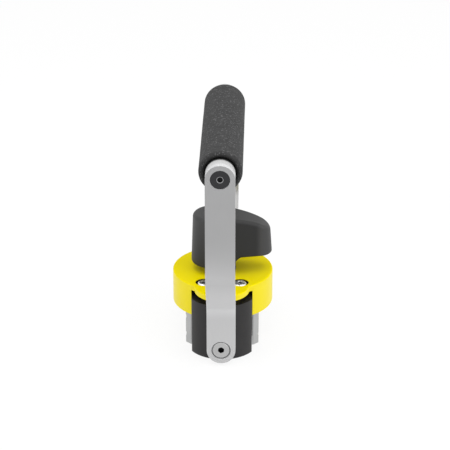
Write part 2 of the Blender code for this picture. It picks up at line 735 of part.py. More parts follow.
def knob():
    """The knob's body on its neck, with a socket for the shaft's flats and a recess for its screw."""
    embedded = KNOB_BOTTOM + KNOB_UNDERCUT + KNOB_TOP_FILLET
    body = joined(knob_body(), cylinder(KNOB_NECK_RADIUS, KNOB_NECK_BOTTOM, embedded))
    radius = SHAFT_RADIUS + GAP
    half = SHAFT_FLATS / 2 + GAP
    reach = asin(half / radius)
    outline = arc((0, 0), radius, -reach, reach) + arc((0, 0), radius, pi - reach, pi + reach)
    socket = prism(outline, KNOB_NECK_BOTTOM - CUT_PAST, SOCKET_TOP)
    screw_hole = stepped(
        M6_RADIUS + GAP,
        KNOB_SCREW_RECESS_RADIUS,
        SOCKET_TOP - CUT_PAST,
        KNOB_SCREW_SEAT,
        KNOB_TOP + CUT_PAST,
    )
    return cut(body, socket, screw_hole)


def knob_screw():
    """An M6 socket head screw down through the knob into the shaft."""
    seat = KNOB_SCREW_SEAT + GAP
    top = seat + M6_SOCKET_HEAD_HEIGHT
    screw = turned([
        (0, seat - KNOB_SCREW_LENGTH),
        (M6_RADIUS, seat - KNOB_SCREW_LENGTH),
        (M6_RADIUS, seat),
        (M6_SOCKET_HEAD_RADIUS, seat),
        (M6_SOCKET_HEAD_RADIUS, top),
        (0, top),
    ])
    return cut(screw, hexagon(HEX_FLATS, top - M6_SOCKET_HEAD_HEIGHT / 2, top + CUT_PAST))


# Handle

def arm_path():
    """Stations along the arm: distance from the middle plane, height above the pivot, lean, half width."""
    lean = atan2(ARM_OFFSET, ARM_BEND_HIGH - ARM_BEND_LOW)
    near = ARM_INNER_LOW + ARM_THICKNESS / 2
    far = near + ARM_OFFSET
    setback = ARM_BEND_RADIUS * (1 - cos(lean)) / sin(lean)
    steps = facets(ARM_BEND_RADIUS, lean)
    leans = [lean * step / steps for step in range(steps + 1)]
    half = ARM_WIDTH / 2
    path = end_stations(near, 0, -1)
    for angle in leans:
        out = ARM_BEND_RADIUS * (1 - cos(angle))
        path.append((near + out, ARM_BEND_LOW - setback + ARM_BEND_RADIUS * sin(angle), angle, half))
    for angle in reversed(leans):
        out = ARM_BEND_RADIUS * (1 - cos(angle))
        path.append((far - out, ARM_BEND_HIGH + setback - ARM_BEND_RADIUS * sin(angle), angle, half))
    return path + end_stations(far, GRIP_ABOVE_PIVOT, 1)


def end_stations(distance, height, direction):
    """The stations round one end of the arm, from the tip inwards or from the sides outwards."""
    half = ARM_WIDTH / 2
    steps = facets(half, pi / 2)
    stations = []
    for step in range(1, steps + 1):
        angle = pi / 2 * step / steps
        stations.append((distance, height + direction * half * cos(angle), 0.0, half * sin(angle)))
    stations.insert(0, (distance, height + direction * half, 0.0, 0.0))
    return stations if direction < 0 else stations[::-1]


def arm():
    """Front arm: a flat bar swept along its bent centre line, round at both ends."""
    bm = bmesh.new()
    sections = []
    for distance, height, angle, half in arm_path():
        across = Vector((0, -cos(angle), -sin(angle))) * ARM_THICKNESS / 2
        centre = Vector((0, -distance, height))
        sides = (-half, half) if half > 0 else (0.0,)
        section = [bm.verts.new(centre + Vector((x, 0, 0)) + across) for x in sides]
        section += [bm.verts.new(centre + Vector((x, 0, 0)) - across) for x in reversed(sides)]
        sections.append(section)
    for low, high in zip(sections, sections[1:]):
        wide = low if len(low) == 4 else high
        tip = high if len(low) == 4 else low
        if len(tip) == 4:
            for i in range(4):
                after = (i + 1) % 4
                bm.faces.new((low[i], low[after], high[after], high[i]))
        else:
            bm.faces.new((wide[0], wide[1], tip[0]))
            bm.faces.new((wide[2], wide[3], tip[1]))
            bm.faces.new((wide[1], wide[2], tip[1], tip[0]))
            bm.faces.new((wide[3], wide[0], tip[0], tip[1]))
    bmesh.ops.recalc_face_normals(bm, faces=bm.faces)
    chamfered(bm, ARM_EDGE)
    pivot_hole = stepped(
        PIVOT_BUSH_RADIUS + GAP,
        M8_HEAD_RADIUS + GAP,
        ARM_INNER_LOW - CUT_PAST,
        PIVOT_HEAD_SEAT,
        ARM_OUTER_LOW + CUT_PAST,
    )
    grip_hole = countersunk_clearance(M8_RADIUS, M8_HEAD_RADIUS, ARM_OUTER_HIGH, 2 * ARM_THICKNESS)
    return cut(bm, outward_y(pivot_hole), moved(outward_y(grip_hole), z=GRIP_ABOVE_PIVOT))


def pivot_bolt():
    """A shoulder bolt with a low head, sunk in the arm and screwed into the pole shoe."""
    seat = PIVOT_HEAD_SEAT + GAP
    face = seat + PIVOT_HEAD_HEIGHT - GAP
    shoulder = SPACER_SEAT + GAP
    bolt = turned([
        (0, shoulder - M8_THREAD_LENGTH),
        (M8_RADIUS, shoulder - M8_THREAD_LENGTH),
        (M8_RADIUS, shoulder),
        (SHOULDER_RADIUS, shoulder),
        (SHOULDER_RADIUS, seat),
        (M8_HEAD_RADIUS, seat),
        (M8_HEAD_RADIUS, face - PIVOT_HEAD_EDGE),
        (M8_HEAD_RADIUS - PIVOT_HEAD_EDGE, face),
        (0, face),
    ])
    return outward_y(cut(bolt, hexagon(HEX_FLATS, face - HEX_DEPTH, face + CUT_PAST)))


def pivot_bush():
    return outward_y(ring(SHOULDER_RADIUS + GAP, PIVOT_BUSH_RADIUS, SPACER_SEAT + GAP, PIVOT_HEAD_SEAT))


def pivot_spacer():
    return outward_y(ring(PIVOT_BUSH_RADIUS + GAP, SPACER_RADIUS, SPACER_SEAT + GAP, ARM_INNER_LOW - GAP))


def grip_bar():
    """The bar between the arms, as thick as they are wide and tapped at both ends."""
    half = ARM_INNER_HIGH - GAP
    bar = chamfered(cylinder(GRIP_BAR_RADIUS, -half, half), ARM_EDGE)
    depth = M8_GRIP_LENGTH - ARM_THICKNESS + GAP
    holes = [
        cylinder(M8_RADIUS + GAP, half - depth, half + CUT_PAST),
        cylinder(M8_RADIUS + GAP, -half - CUT_PAST, depth - half),
    ]
    return outward_y(cut(bar, *holes))


def foam_grip():
    """A foam sleeve with softly rounded ends, which leaves a length of the bar bare at each arm."""
    half = ARM_INNER_HIGH - GRIP_BAR_SHOWN
    inner = GRIP_BAR_RADIUS + GAP
    fillet = FOAM_END_FILLET
    rim = FOAM_RADIUS - fillet
    profile = [(inner, -half)]
    profile += arc((rim, fillet - half), fillet, -pi / 2, 0)
    profile += arc((rim, half - fillet), fillet, 0, pi / 2)
    profile.append((inner, half))
    return outward_y(turned(profile))


def grip_screw():
    screw = countersunk_screw(M8_RADIUS, M8_HEAD_RADIUS, ARM_OUTER_HIGH, M8_GRIP_LENGTH, HEX_FLATS)
    return outward_y(screw)


# Assembly

def build_housing():
    front_and_rear("pole_shoe", as_mesh(pole_shoe(), "pole_shoe"), "black_steel")
    wall = as_mesh(side_wall(), "side_wall")
    piece("right_side_wall", wall, "bare_aluminium")
    piece("left_side_wall", wall, "bare_aluminium", turn=pi)
    screw = countersunk_screw(M4_RADIUS, M4_HEAD_RADIUS, WALL_OUTER, M4_LENGTH, M4_SOCKET)
    screw = as_mesh(outward_x(screw), "wall_screw")
    number = 0
    for turn, side in ((0, 1), (pi, -1)):
        for y in (-WALL_SCREW_Y, WALL_SCREW_Y):
            for height in WALL_SCREW_HEIGHTS:
                number += 1
                name = "wall_screw_%d" % number
                piece(name, screw, "zinc_steel", location=(0, side * y, height), turn=turn)
    base = cylinder(MAGNET_RADIUS, BASE_PLATE_LIFT, BASE_PLATE_TOP)
    piece("base_plate", as_mesh(base, "base_plate"), "bare_aluminium")


def build_magnets(knob_axis):
    fixed = cylinder(MAGNET_RADIUS, FIXED_MAGNET_BOTTOM, FIXED_MAGNET_BOTTOM + MAGNET_HEIGHT)
    piece("fixed_magnet", as_mesh(fixed, "fixed_magnet"), "nickel_magnet")
    disc = cylinder(MAGNET_RADIUS, SLIDE_DISC_BOTTOM, SLIDE_DISC_BOTTOM + SLIDE_DISC_THICKNESS)
    piece("slide_disc", as_mesh(disc, "slide_disc"), "slide_plastic")
    piece("turning_magnet", as_mesh(turning_magnet(), "turning_magnet"), "nickel_magnet", knob_axis)
    piece("magnet_carrier", as_mesh(magnet_carrier(), "magnet_carrier"), "bare_aluminium", knob_axis)
    bottom = TURNING_MAGNET_BOTTOM + MAGNET_HEIGHT - DOWEL_IN_MAGNET
    for number, side in ((1, -1), (2, 1)):
        pin = dowel(bottom, CARRIER_TOP, side)
        piece("drive_dowel_%d" % number, as_mesh(pin, "drive_dowel"), "zinc_steel", knob_axis)
    piece("stop_pin", as_mesh(stop_pin(), "stop_pin"), "zinc_steel", knob_axis)
    washer_inner = SHAFT_SQUARE / sqrt(2) + GAP
    washer_top = THRUST_WASHER_BOTTOM + THRUST_WASHER_THICKNESS
    washer = ring(washer_inner, BUSH_FLANGE_RADIUS, THRUST_WASHER_BOTTOM, washer_top)
    piece("thrust_washer", as_mesh(washer, "thrust_washer"), "bronze")


def build_cover(knob_axis):
    piece("top_cover", as_mesh(top_cover(), "top_cover"), "yellow_paint")
    screw = as_mesh(pan_head_screw(), "cover_screw")
    number = 0
    for x in (-COVER_SCREW_X, COVER_SCREW_X):
        for y in (-COVER_SCREW_Y, COVER_SCREW_Y):
            number += 1
            piece("cover_screw_%d" % number, screw, "zinc_steel", location=(x, y, 0))
    piece("shaft_bush", as_mesh(shaft_bush(), "shaft_bush"), "bronze")
    piece("shaft_seal", as_mesh(shaft_seal(), "shaft_seal"), "black_rubber")
    piece("drive_shaft", as_mesh(drive_shaft(), "drive_shaft"), "zinc_steel", knob_axis)
    piece("knob", as_mesh(knob(), "knob"), "black_plastic", knob_axis)
    piece("knob_screw", as_mesh(knob_screw(), "knob_screw"), "black_screw", knob_axis)


def build_handle(handle_axis):
    pivot = (0, 0, PIVOT_HEIGHT)
    front_and_rear("pivot_bolt", as_mesh(pivot_bolt(), "pivot_bolt"), "zinc_steel", None, pivot)
    front_and_rear("pivot_spacer", as_mesh(pivot_spacer(), "pivot_spacer"), "zinc_steel", None, pivot)
    front_and_rear("pivot_bush", as_mesh(pivot_bush(), "pivot_bush"), "bronze", handle_axis)
    front_and_rear("arm", as_mesh(arm(), "arm"), "brushed_aluminium", handle_axis)
    grip = (0, 0, GRIP_ABOVE_PIVOT)
    front_and_rear("grip_screw", as_mesh(grip_screw(), "grip_screw"), "black_screw", handle_axis, grip)
    piece("grip_bar", as_mesh(grip_bar(), "grip_bar"), "bare_aluminium", handle_axis, grip)
    piece("foam_grip", as_mesh(foam_grip(), "foam_grip"), "black_foam", handle_axis, grip)


def main():
    for old in list(bpy.data.objects):
        bpy.data.objects.remove(old)
    knob_axis = axis_empty("knob_axis", (0, 0, 0))
    handle_axis = axis_empty("handle_axis", (0, 0, PIVOT_HEIGHT))
    build_housing()
    build_magnets(knob_axis)
    build_cover(knob_axis)
    build_handle(handle_axis)


main()
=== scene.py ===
"""Looks of a magnetic hand lifter: steel pole shoes under a notched yellow cover, a black turning knob,
and a swinging handle of two bent bars with a foam grip. Metres, +Z up, in the frame of the CAD model."""

from math import acos, asin, cos, pi, radians, sin, sqrt

import bmesh
import bpy
from bpy.props import FloatProperty, FloatVectorProperty, IntProperty, PointerProperty
from bpy.types import Operator, Panel, PropertyGroup
from mathutils import Matrix, Vector


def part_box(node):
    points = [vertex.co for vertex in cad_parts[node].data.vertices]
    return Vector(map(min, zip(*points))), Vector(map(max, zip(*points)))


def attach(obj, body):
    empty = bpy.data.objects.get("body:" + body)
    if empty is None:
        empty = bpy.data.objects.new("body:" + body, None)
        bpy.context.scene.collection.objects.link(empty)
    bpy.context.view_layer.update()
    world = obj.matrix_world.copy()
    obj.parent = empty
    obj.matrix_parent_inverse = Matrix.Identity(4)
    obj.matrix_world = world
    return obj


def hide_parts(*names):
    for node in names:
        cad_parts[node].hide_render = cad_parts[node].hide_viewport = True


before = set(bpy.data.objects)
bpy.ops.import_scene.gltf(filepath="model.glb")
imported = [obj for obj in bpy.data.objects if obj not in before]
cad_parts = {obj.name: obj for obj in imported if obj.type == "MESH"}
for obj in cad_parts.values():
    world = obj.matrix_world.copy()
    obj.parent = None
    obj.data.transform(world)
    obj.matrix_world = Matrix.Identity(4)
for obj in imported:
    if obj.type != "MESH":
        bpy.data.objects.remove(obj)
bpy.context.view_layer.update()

bl_info = {
    "name": "Magnetic hand lifter",
    "version": (1, 0, 0),
    "blender": (4, 5, 0),
    "location": "3D View > Sidebar > Lifter",
    "description": "Builds the looks of a magnetic hand lifter round its CAD frame",
    "category": "Object",
}

# The frame's own measures
SHOE_LOW, SHOE_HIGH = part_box("front_pole_shoe")
WALL_LOW, WALL_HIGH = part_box("right_side_wall")
COVER_LOW, COVER_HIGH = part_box("top_cover")
SCREW_LOW, SCREW_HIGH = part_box("cover_screw_4")
WALL_SCREW_LOW, WALL_SCREW_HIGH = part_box("wall_screw_1")
KNOB_LOW, KNOB_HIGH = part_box("knob")
KNOB_SCREW_LOW, KNOB_SCREW_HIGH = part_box("knob_screw")
ARM_LOW, ARM_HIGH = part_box("front_arm")
BOLT_LOW, BOLT_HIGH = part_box("front_pivot_bolt")
BUSH_LOW, BUSH_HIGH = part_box("front_pivot_bush")
GRIP_SCREW_LOW, GRIP_SCREW_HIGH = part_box("front_grip_screw")
FOAM_LOW, FOAM_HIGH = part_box("foam_grip")
BAR_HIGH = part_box("grip_bar")[1]
SPACER_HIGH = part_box("front_pivot_spacer")[1]
SHAFT_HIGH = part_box("drive_shaft")[1]
PIVOT_HEIGHT = (BOLT_LOW.z + BOLT_HIGH.z) / 2
GRIP_HEIGHT = (GRIP_SCREW_LOW.z + GRIP_SCREW_HIGH.z) / 2
WALL_SCREW_RADIUS = (WALL_SCREW_HIGH.z - WALL_SCREW_LOW.z) / 2
BOLT_RADIUS = (BOLT_HIGH.z - BOLT_LOW.z) / 2
GRIP_SCREW_RADIUS = (GRIP_SCREW_HIGH.z - GRIP_SCREW_LOW.z) / 2
COVER_SCREWS = ["cover_screw_%d" % number for number in range(1, 5)]
WALL_SCREWS = ["wall_screw_%d" % number for number in range(1, 9)]
HALF_TURN = Matrix.Rotation(pi, 4, "Z")

# Facets of round stretches, and the angle from which an edge is sharp
ROUND = 128
SCREW_ROUND = 64
HALF_ROUND = 48
FILLET_STEPS = 8
EDGE_STEPS = 3
SHARP = radians(38)

# How far a cutter runs past what it cuts, the gap round a fitted piece, and what counts as one point
PAST = 0.002
GAP = 0.0003
SEAM = 0.000001

# Small sizes of edges, holes, sockets and gaps
FINE_EDGE = 0.0003
WALL_CORNER = 0.0045
SCREW_HOLE = 0.0033
HEAD_GAP = 0.0004
FLOOR_GAP = 0.0001
RIM_SHARE = 0.08
SOCKET_REACH = 0.62
SINK_DEPTH = 0.012
FOAM_STEP = 0.0008

# The lamps: name, place and size. Their powers are in the stage's settings.
LAMPS = (
    ("key", (0.0, -0.25, 1.5), 1.6),
    ("left", (-1.35, -0.9, 0.75), 1.1),
    ("right", (1.35, -0.9, 0.75), 1.1),
)
FLOOR_HALF = 6.0
GLOW_STRENGTH = 1.05

# Numbers of the finishes
RING_WIDTH = 0.00028
WORN_RING = (0.0024, 0.0027)
EDGE_LEAN = 0.4
# How much paler the knob's painted highlight is
HIGHLIGHT_GAIN = 3.1


# Properties

def number(name, description, default, **more):
    return FloatProperty(name=name, description=description, default=default, **more)


def length(name, description, default):
    return number(name, description, default, unit="LENGTH", precision=5)


def colour(name, description, default):
    more = {"subtype": "COLOR", "min": 0, "max": 1}
    return FloatVectorProperty(name=name, description=description, default=default, **more)


def seed(name, description, default):
    return IntProperty(name=name, description=description, default=default)


class HousingSizes(PropertyGroup):
    bore: length("Bore radius", "Radius of the hole for the magnets", 0.0254)
    nose: length("Nose radius", "Radius of the convex front of a pole shoe", 0.0308)
    shoe_edge: length("Shoe edge", "Rounding of a pole shoe's edges", 0.0007)
    seat: length("Seat radius", "Radius of the flat seat for the pivot spacer", 0.0093)
    pivot_thread: length("Pivot thread", "Radius of the tapped hole at the pivot", 0.0043)
    corner: length("Wall corner", "Bevel at the upright corners of a side wall", WALL_CORNER)
    flange: length("Wall flange", "Thickness of a side wall outside the pole shoes", 0.0056)


class CoverSizes(PropertyGroup):
    thickness: length("Thickness", "Thickness of the cover's top", 0.0107)
    plate: length("Plate", "Thickness of the plate over the notches", 0.0055)
    edge: length("Edge", "Rounding of the cover's upper rim", 0.0013)
    lobe_inset: length("Lobe inset", "From the side of a notch to the side of its lobe", 0.0026)
    boss_inset: length("Boss inset", "From the side of a lobe to the side of the boss below it", 0.0012)
    boss_setback: length("Boss setback", "From the centre of a lobe back to the centre of its boss", 0.014)
    slit_depth: length("Slit depth", "How far a slit runs past the boss's centre", 0.0015)
    counterbore: length("Counterbore radius", "Radius of the recess for a screw head", 0.0075)
    counterbore_depth: length("Counterbore depth", "Depth of the recess for a screw head", 0.0047)
    seal_housing: length("Seal housing", "Radius of the recess round the shaft", 0.0118)
    seal_depth: length("Seal depth", "Depth of the recess round the shaft", 0.0041)
    shaft_hole: length("Bush hole", "Radius of the hole for the shaft's bush", 0.0106)


class KnobSizes(PropertyGroup):
    heel: length("Heel radius", "Radius of the broad end, at its foot", 0.0199)
    tip: length("Tip radius", "Radius of the narrow end, at its foot", 0.0117)
    standoff: length("Standoff", "Height of the knob's foot above the cover", 0.0071)
    tip_drop: length("Tip drop", "How far the top falls towards the tip", 0.0132)
    drop_power: number("Drop power", "How late the top starts to fall", 3.7)
    draft: length("Draft", "How far the sides lean in", 0.0014)
    top_fillet: length("Top fillet", "Rounding of the upper edge", 0.0034)
    foot_fillet: length("Foot fillet", "Rounding of the lower edge", 0.002)
    undercut: length("Undercut", "Height of the finger room below the tip", 0.0091)
    undercut_start: length("Undercut start", "Where the underside starts to rise", 0.005)
    undercut_end: length("Undercut end", "Where the underside is fully raised", 0.017)
    neck: length("Neck radius", "Radius of the neck below the knob", 0.0115)
    recess: length("Recess radius", "Radius of the recess for the knob's screw", 0.007)
    recess_depth: length("Recess depth", "Depth of the recess for the knob's screw", 0.009)


class HandleSizes(PropertyGroup):
    thickness: length("Bar thickness", "Thickness of the flat bar", 0.006)
    bend_low: length("Lower bend", "Height of the lower bend above the pivot", 0.041)
    bend_high: length("Upper bend", "Height of the upper bend above the pivot", 0.081)
    bend_radius: length("Bend radius", "Radius of the bends on the middle of the bar", 0.012)
    edge: length("Bar edge", "Rounding of the bar's edges", 0.0006)
    foam_inner: length("Foam bore", "Inner radius of the foam sleeve", 0.0128)
    foam_fillet: length("Foam end", "Rounding of the foam's ends", 0.0028)
    foam_swell: length("Foam swell", "How far the foam swells past its nominal radius", 0.0004)
    foam_skin: length("Foam skin", "Depth of the uneven skin of the foam", 0.00022)
    foam_cell: number("Foam cells", "Cells of the foam per metre", 620.0)
    foam_seed: seed("Foam seed", "Seed of the foam's uneven skin", 4)


class ScrewSizes(PropertyGroup):
    hexagon: length("Hexagon", "Size across the flats of the large hexagon sockets", 0.005)
    grip_hexagon: length("Grip hexagon", "Size across the flats of the grip screws' sockets", 0.0043)
    small_hexagon: length("Small hexagon", "Size across the flats of the side walls' sockets", 0.0025)
    cross_span: length("Cross span", "Length of a cross recess", 0.0072)
    cross_width: length("Cross width", "Width of a wing of the cross recess", 0.0020)
    cross_depth: length("Cross depth", "Depth of the cross recess", 0.0026)
    seed: seed("Turn seed", "Seed of the angles at which screws are tightened", 3)


class Finishes(PropertyGroup):
    bar: colour("Bars", "Colour of the satin handle bars", (0.54, 0.54, 0.545))
    bar_skin: colour("Grip bar", "Colour of the round bar inside the foam", (0.68, 0.68, 0.68))
    paint: colour("Cover", "Colour of the painted cover", (0.96, 0.80, 0.001))
    plastic: colour("Knob", "Colour of the knob's plastic", (0.0155, 0.0155, 0.0155))
    foam: colour("Foam", "Colour of the foam grip", (0.033, 0.033, 0.0335))
    steel: colour("Pole shoes", "Colour of the blackened steel", (0.025, 0.024, 0.0245))
    aluminium: colour("Side walls", "Colour of the bare aluminium", (0.475, 0.48, 0.48))
    zinc: colour("Zinc", "Colour of the zinc-plated screws", (0.86, 0.86, 0.84))
    bolt: colour("Pivot bolts", "Colour of the satin pivot bolts", (0.47, 0.47, 0.47))
    black_screw: colour("Black screws", "Colour of the blackened screws", (0.030, 0.030, 0.032))


class StageSettings(PropertyGroup):
    lens: number("Lens", "Focal length in millimetres on a 36 mm frame", 140.59, unit="CAMERA")
    camera_place: FloatVectorProperty(
        name="Camera place", description="Where the camera stands", subtype="TRANSLATION",
        default=(0.03377, -1.41427, 0.74824))
    camera_pitch: number("Camera pitch", "How far the camera looks down", radians(24.47), subtype="ANGLE")
    camera_yaw: number("Camera yaw", "How far the camera turns to the left", radians(1.29), subtype="ANGLE")
    key_power: number("Key light", "Power of the light above in watts", 12.5, unit="POWER")
    left_power: number("Left light", "Power of the left light in watts", 2.5, unit="POWER")
    right_power: number("Right light", "Power of the right light in watts", 6.5, unit="POWER")
    sky: number("Sky", "Strength of the even light from all round", 0.62, subtype="FACTOR")
    floor_glow: number("Floor glow", "How far the floor is lifted to white", 0.80, subtype="FACTOR")


# Outlines

def eased(share):
    """A smooth step from 0 to 1."""
    share = min(1.0, max(0.0, share))
    return share * share * (3 - 2 * share)


def arc(centre, radius, start, end, steps):
    """Points on an arc, both ends included, with angles in radians from +X."""
    angles = [start + (end - start) * i / steps for i in range(steps + 1)]
    return [(centre[0] + radius * cos(a), centre[1] + radius * sin(a)) for a in angles]


def mirrored_x(outline):
    return [(-x, y) for x, y in reversed(outline)]


def opposite(outline):
    return [(-x, -y) for x, y in outline]


# Solids

def prism(outline, bottom, top):
    """A closed outline in XY drawn up from bottom to top."""
    bm = bmesh.new()
    face = bm.faces.new([bm.verts.new((x, y, bottom)) for x, y in outline])
    drawn = bmesh.ops.extrude_face_region(bm, geom=[face])
    lid = [item for item in drawn["geom"] if isinstance(item, bmesh.types.BMVert)]
    bmesh.ops.translate(bm, verts=lid, vec=(0, 0, top - bottom))
    bmesh.ops.recalc_face_normals(bm, faces=bm.faces)
    return bm


def turned(profile, segments=SCREW_ROUND):
    """A profile of (radius, height) points spun about Z. It is closed, or it starts and ends on Z."""
    bm = bmesh.new()
    verts = [bm.verts.new((radius, 0, height)) for radius, height in profile]
    edges = [bm.edges.new(pair) for pair in zip(verts, verts[1:])]
    if profile[0][0] > 0:
        edges.append(bm.edges.new((verts[-1], verts[0])))
    bmesh.ops.spin(bm, geom=verts + edges, axis=(0, 0, 1), cent=(0, 0, 0), angle=2 * pi, steps=segments)
    bmesh.ops.remove_doubles(bm, verts=bm.verts, dist=SEAM)
    bmesh.ops.recalc_face_normals(bm, faces=bm.faces)
    return bm


def lofted(rings, ends=None):
    """A closed skin over rings of points, with a flat face at each end, or a fan round an end point."""
    bm = bmesh.new()
    loops = [[bm.verts.new(point) for point in points] for points in rings]
    for low, high in zip(loops, loops[1:]):
        for i in range(len(low)):
            after = (i + 1) % len(low)
            bm.faces.new((low[i], low[after], high[after], high[i]))
    for loop, end in zip((loops[0], loops[-1]), ends or (None, None)):
        if end is None:
            bm.faces.new(loop)
            continue
        centre = bm.verts.new(end)
        for i in range(len(loop)):
            bm.faces.new((loop[i], loop[(i + 1) % len(loop)], centre))
    bmesh.ops.recalc_face_normals(bm, faces=bm.faces)
    return bm


def cylinder(radius, bottom, top, segments=SCREW_ROUND):
    return turned([(0, bottom), (radius, bottom), (radius, top), (0, top)], segments)


def stepped(narrow, wide, bottom, step, top):
    """A round cutter that is wider above its step."""
    return turned([(0, bottom), (narrow, bottom), (narrow, step), (wide, step), (wide, top), (0, top)])


def moved(bm, x=0.0, y=0.0, z=0.0):
    bmesh.ops.translate(bm, verts=bm.verts, vec=(x, y, z))
    return bm


def laid(bm, axis):
    """Lays a solid made along +Z on its side: about X its height runs to -Y, about Y it runs to +X."""
    bmesh.ops.rotate(bm, verts=bm.verts, cent=(0, 0, 0), matrix=Matrix.Rotation(pi / 2, 3, axis))
    return bm


# Objects

def new_object(name, bm):
    mesh = bpy.data.meshes.new(name)
    bm.to_mesh(mesh)
    bm.free()
    made = bpy.data.objects.new(name, mesh)
    bpy.context.scene.collection.objects.link(made)
    return made


def baked(body):
    """Replaces the object's mesh by what its modifiers make of it."""
    shown = body.evaluated_get(bpy.context.evaluated_depsgraph_get())
    mesh = bpy.data.meshes.new_from_object(shown)
    body.modifiers.clear()
    body.data = mesh
    mesh.name = body.name
    return body


def shaded(body):
    """Smooth shading with crisp edges, and normals that leave flat faces flat."""
    body.data.shade_smooth()
    body.data.set_sharp_from_angle(angle=SHARP)
    even = body.modifiers.new("even", "WEIGHTED_NORMAL")
    even.keep_sharp = True
    return baked(body)


def shape(name, base, cuts=(), joins=(), keeps=(), edge=FINE_EDGE, steps=EDGE_STEPS):
    """One object from a base solid: what is joined to it, cut from it or kept of it, then fine edges."""
    body = new_object(name, base)
    guides = []
    for operation, solids in (("UNION", joins), ("DIFFERENCE", cuts), ("INTERSECT", keeps)):
        for solid in solids:
            guide = new_object("guide", solid)
            guides.append(guide)
            boolean = body.modifiers.new(operation.lower(), "BOOLEAN")
            boolean.operation = operation
            boolean.solver = "EXACT"
            boolean.object = guide
    rounding = body.modifiers.new("edges", "BEVEL")
    rounding.width = edge
    rounding.segments = steps
    rounding.limit_method = "ANGLE"
    rounding.angle_limit = SHARP
    rounding.use_clamp_overlap = True
    baked(body)
    for guide in guides:
        bpy.data.objects.remove(guide)
    if not body.data.polygons:
        raise RuntimeError("%s came out empty" % name)
    return shaded(body)


def marks(body, name, value, domain="POINT"):
    """Writes a number on every point or face of a piece, worked out from that point or face."""
    items = body.data.vertices if domain == "POINT" else body.data.polygons
    for mark, item in zip(body.data.attributes.new(name, "FLOAT", domain).data, items):
        mark.value = value(item)


def on_grip_axis(body):
    """Lays a piece made along +Z, round the origin, along the grip's axis."""
    body.data.transform(Matrix.Translation((0, 0, GRIP_HEIGHT)) @ Matrix.Rotation(pi / 2, 4, "X"))


def placed(piece, material, slot, body, *nodes):
    """Gives a piece its finish and its body, and lets it stand for the CAD nodes it shows."""
    piece.data.materials.clear()
    piece.data.materials.append(material)
    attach(piece, body)
    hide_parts(*nodes)


def placed_pair(piece, twin_name, material, slot, body, node, twin_node):
    """Places a piece and its twin, which is the same piece turned by half a turn."""
    twin = bpy.data.objects.new(twin_name, piece.data.copy())
    twin.data.name = twin_name
    twin.data.transform(HALF_TURN)
    bpy.context.scene.collection.objects.link(twin)
    placed(piece, material, slot, body, node)
    placed(twin, material, slot, body, twin_node)


def middle_of(node):
    return sum(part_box(node), Vector()) / 2


# Node trees

def node_operator(kind, reflected=False):
    """A Python operator that adds a Math node. A reflected one has its own Value on the right."""
    def made(self, other):
        sides = (other, self) if reflected else (self, other)
        return self.maths(kind, *sides)

    return made


class Value:
    """A node socket in a Python expression: + - * and ** add Math nodes."""

    def __init__(self, tree, socket):
        self.tree = tree
        self.socket = socket

    def maths(self, operation, first, second=None):
        node = self.tree.nodes.new("ShaderNodeMath")
        node.operation = operation
        fill(self.tree, node.inputs[0], first)
        if second is not None:
            fill(self.tree, node.inputs[1], second)
        return Value(self.tree, node.outputs[0])

    __add__, __radd__ = node_operator("ADD"), node_operator("ADD", True)
    __sub__, __rsub__ = node_operator("SUBTRACT"), node_operator("SUBTRACT", True)
    __mul__, __rmul__ = node_operator("MULTIPLY"), node_operator("MULTIPLY", True)
    __pow__ = node_operator("POWER")

    def __abs__(self):
        return self.maths("ABSOLUTE", self)


def fill(tree, socket, value):
    """Links a Value to a socket, or sets the socket to a plain number, colour or name."""
    if isinstance(value, Value):
        tree.links.new(value.socket, socket)
    elif socket.type == "RGBA" and len(value) == 3:
        socket.default_value = (*value, 1.0)
    else:
        socket.default_value = value


class Graph:
    """A node tree while it is being made."""

    def __init__(self, tree):
        self.tree = tree

    def node(self, kind, settings, sockets, output=0):
        """Adds a node: first its settings, then its sockets' values or links."""
        made = self.tree.nodes.new(kind)
        for name, value in settings.items():
            setattr(made, name, value)
        for name, value in sockets.items():
            fill(self.tree, made.inputs[name], value)
        return Value(self.tree, made.outputs[output])


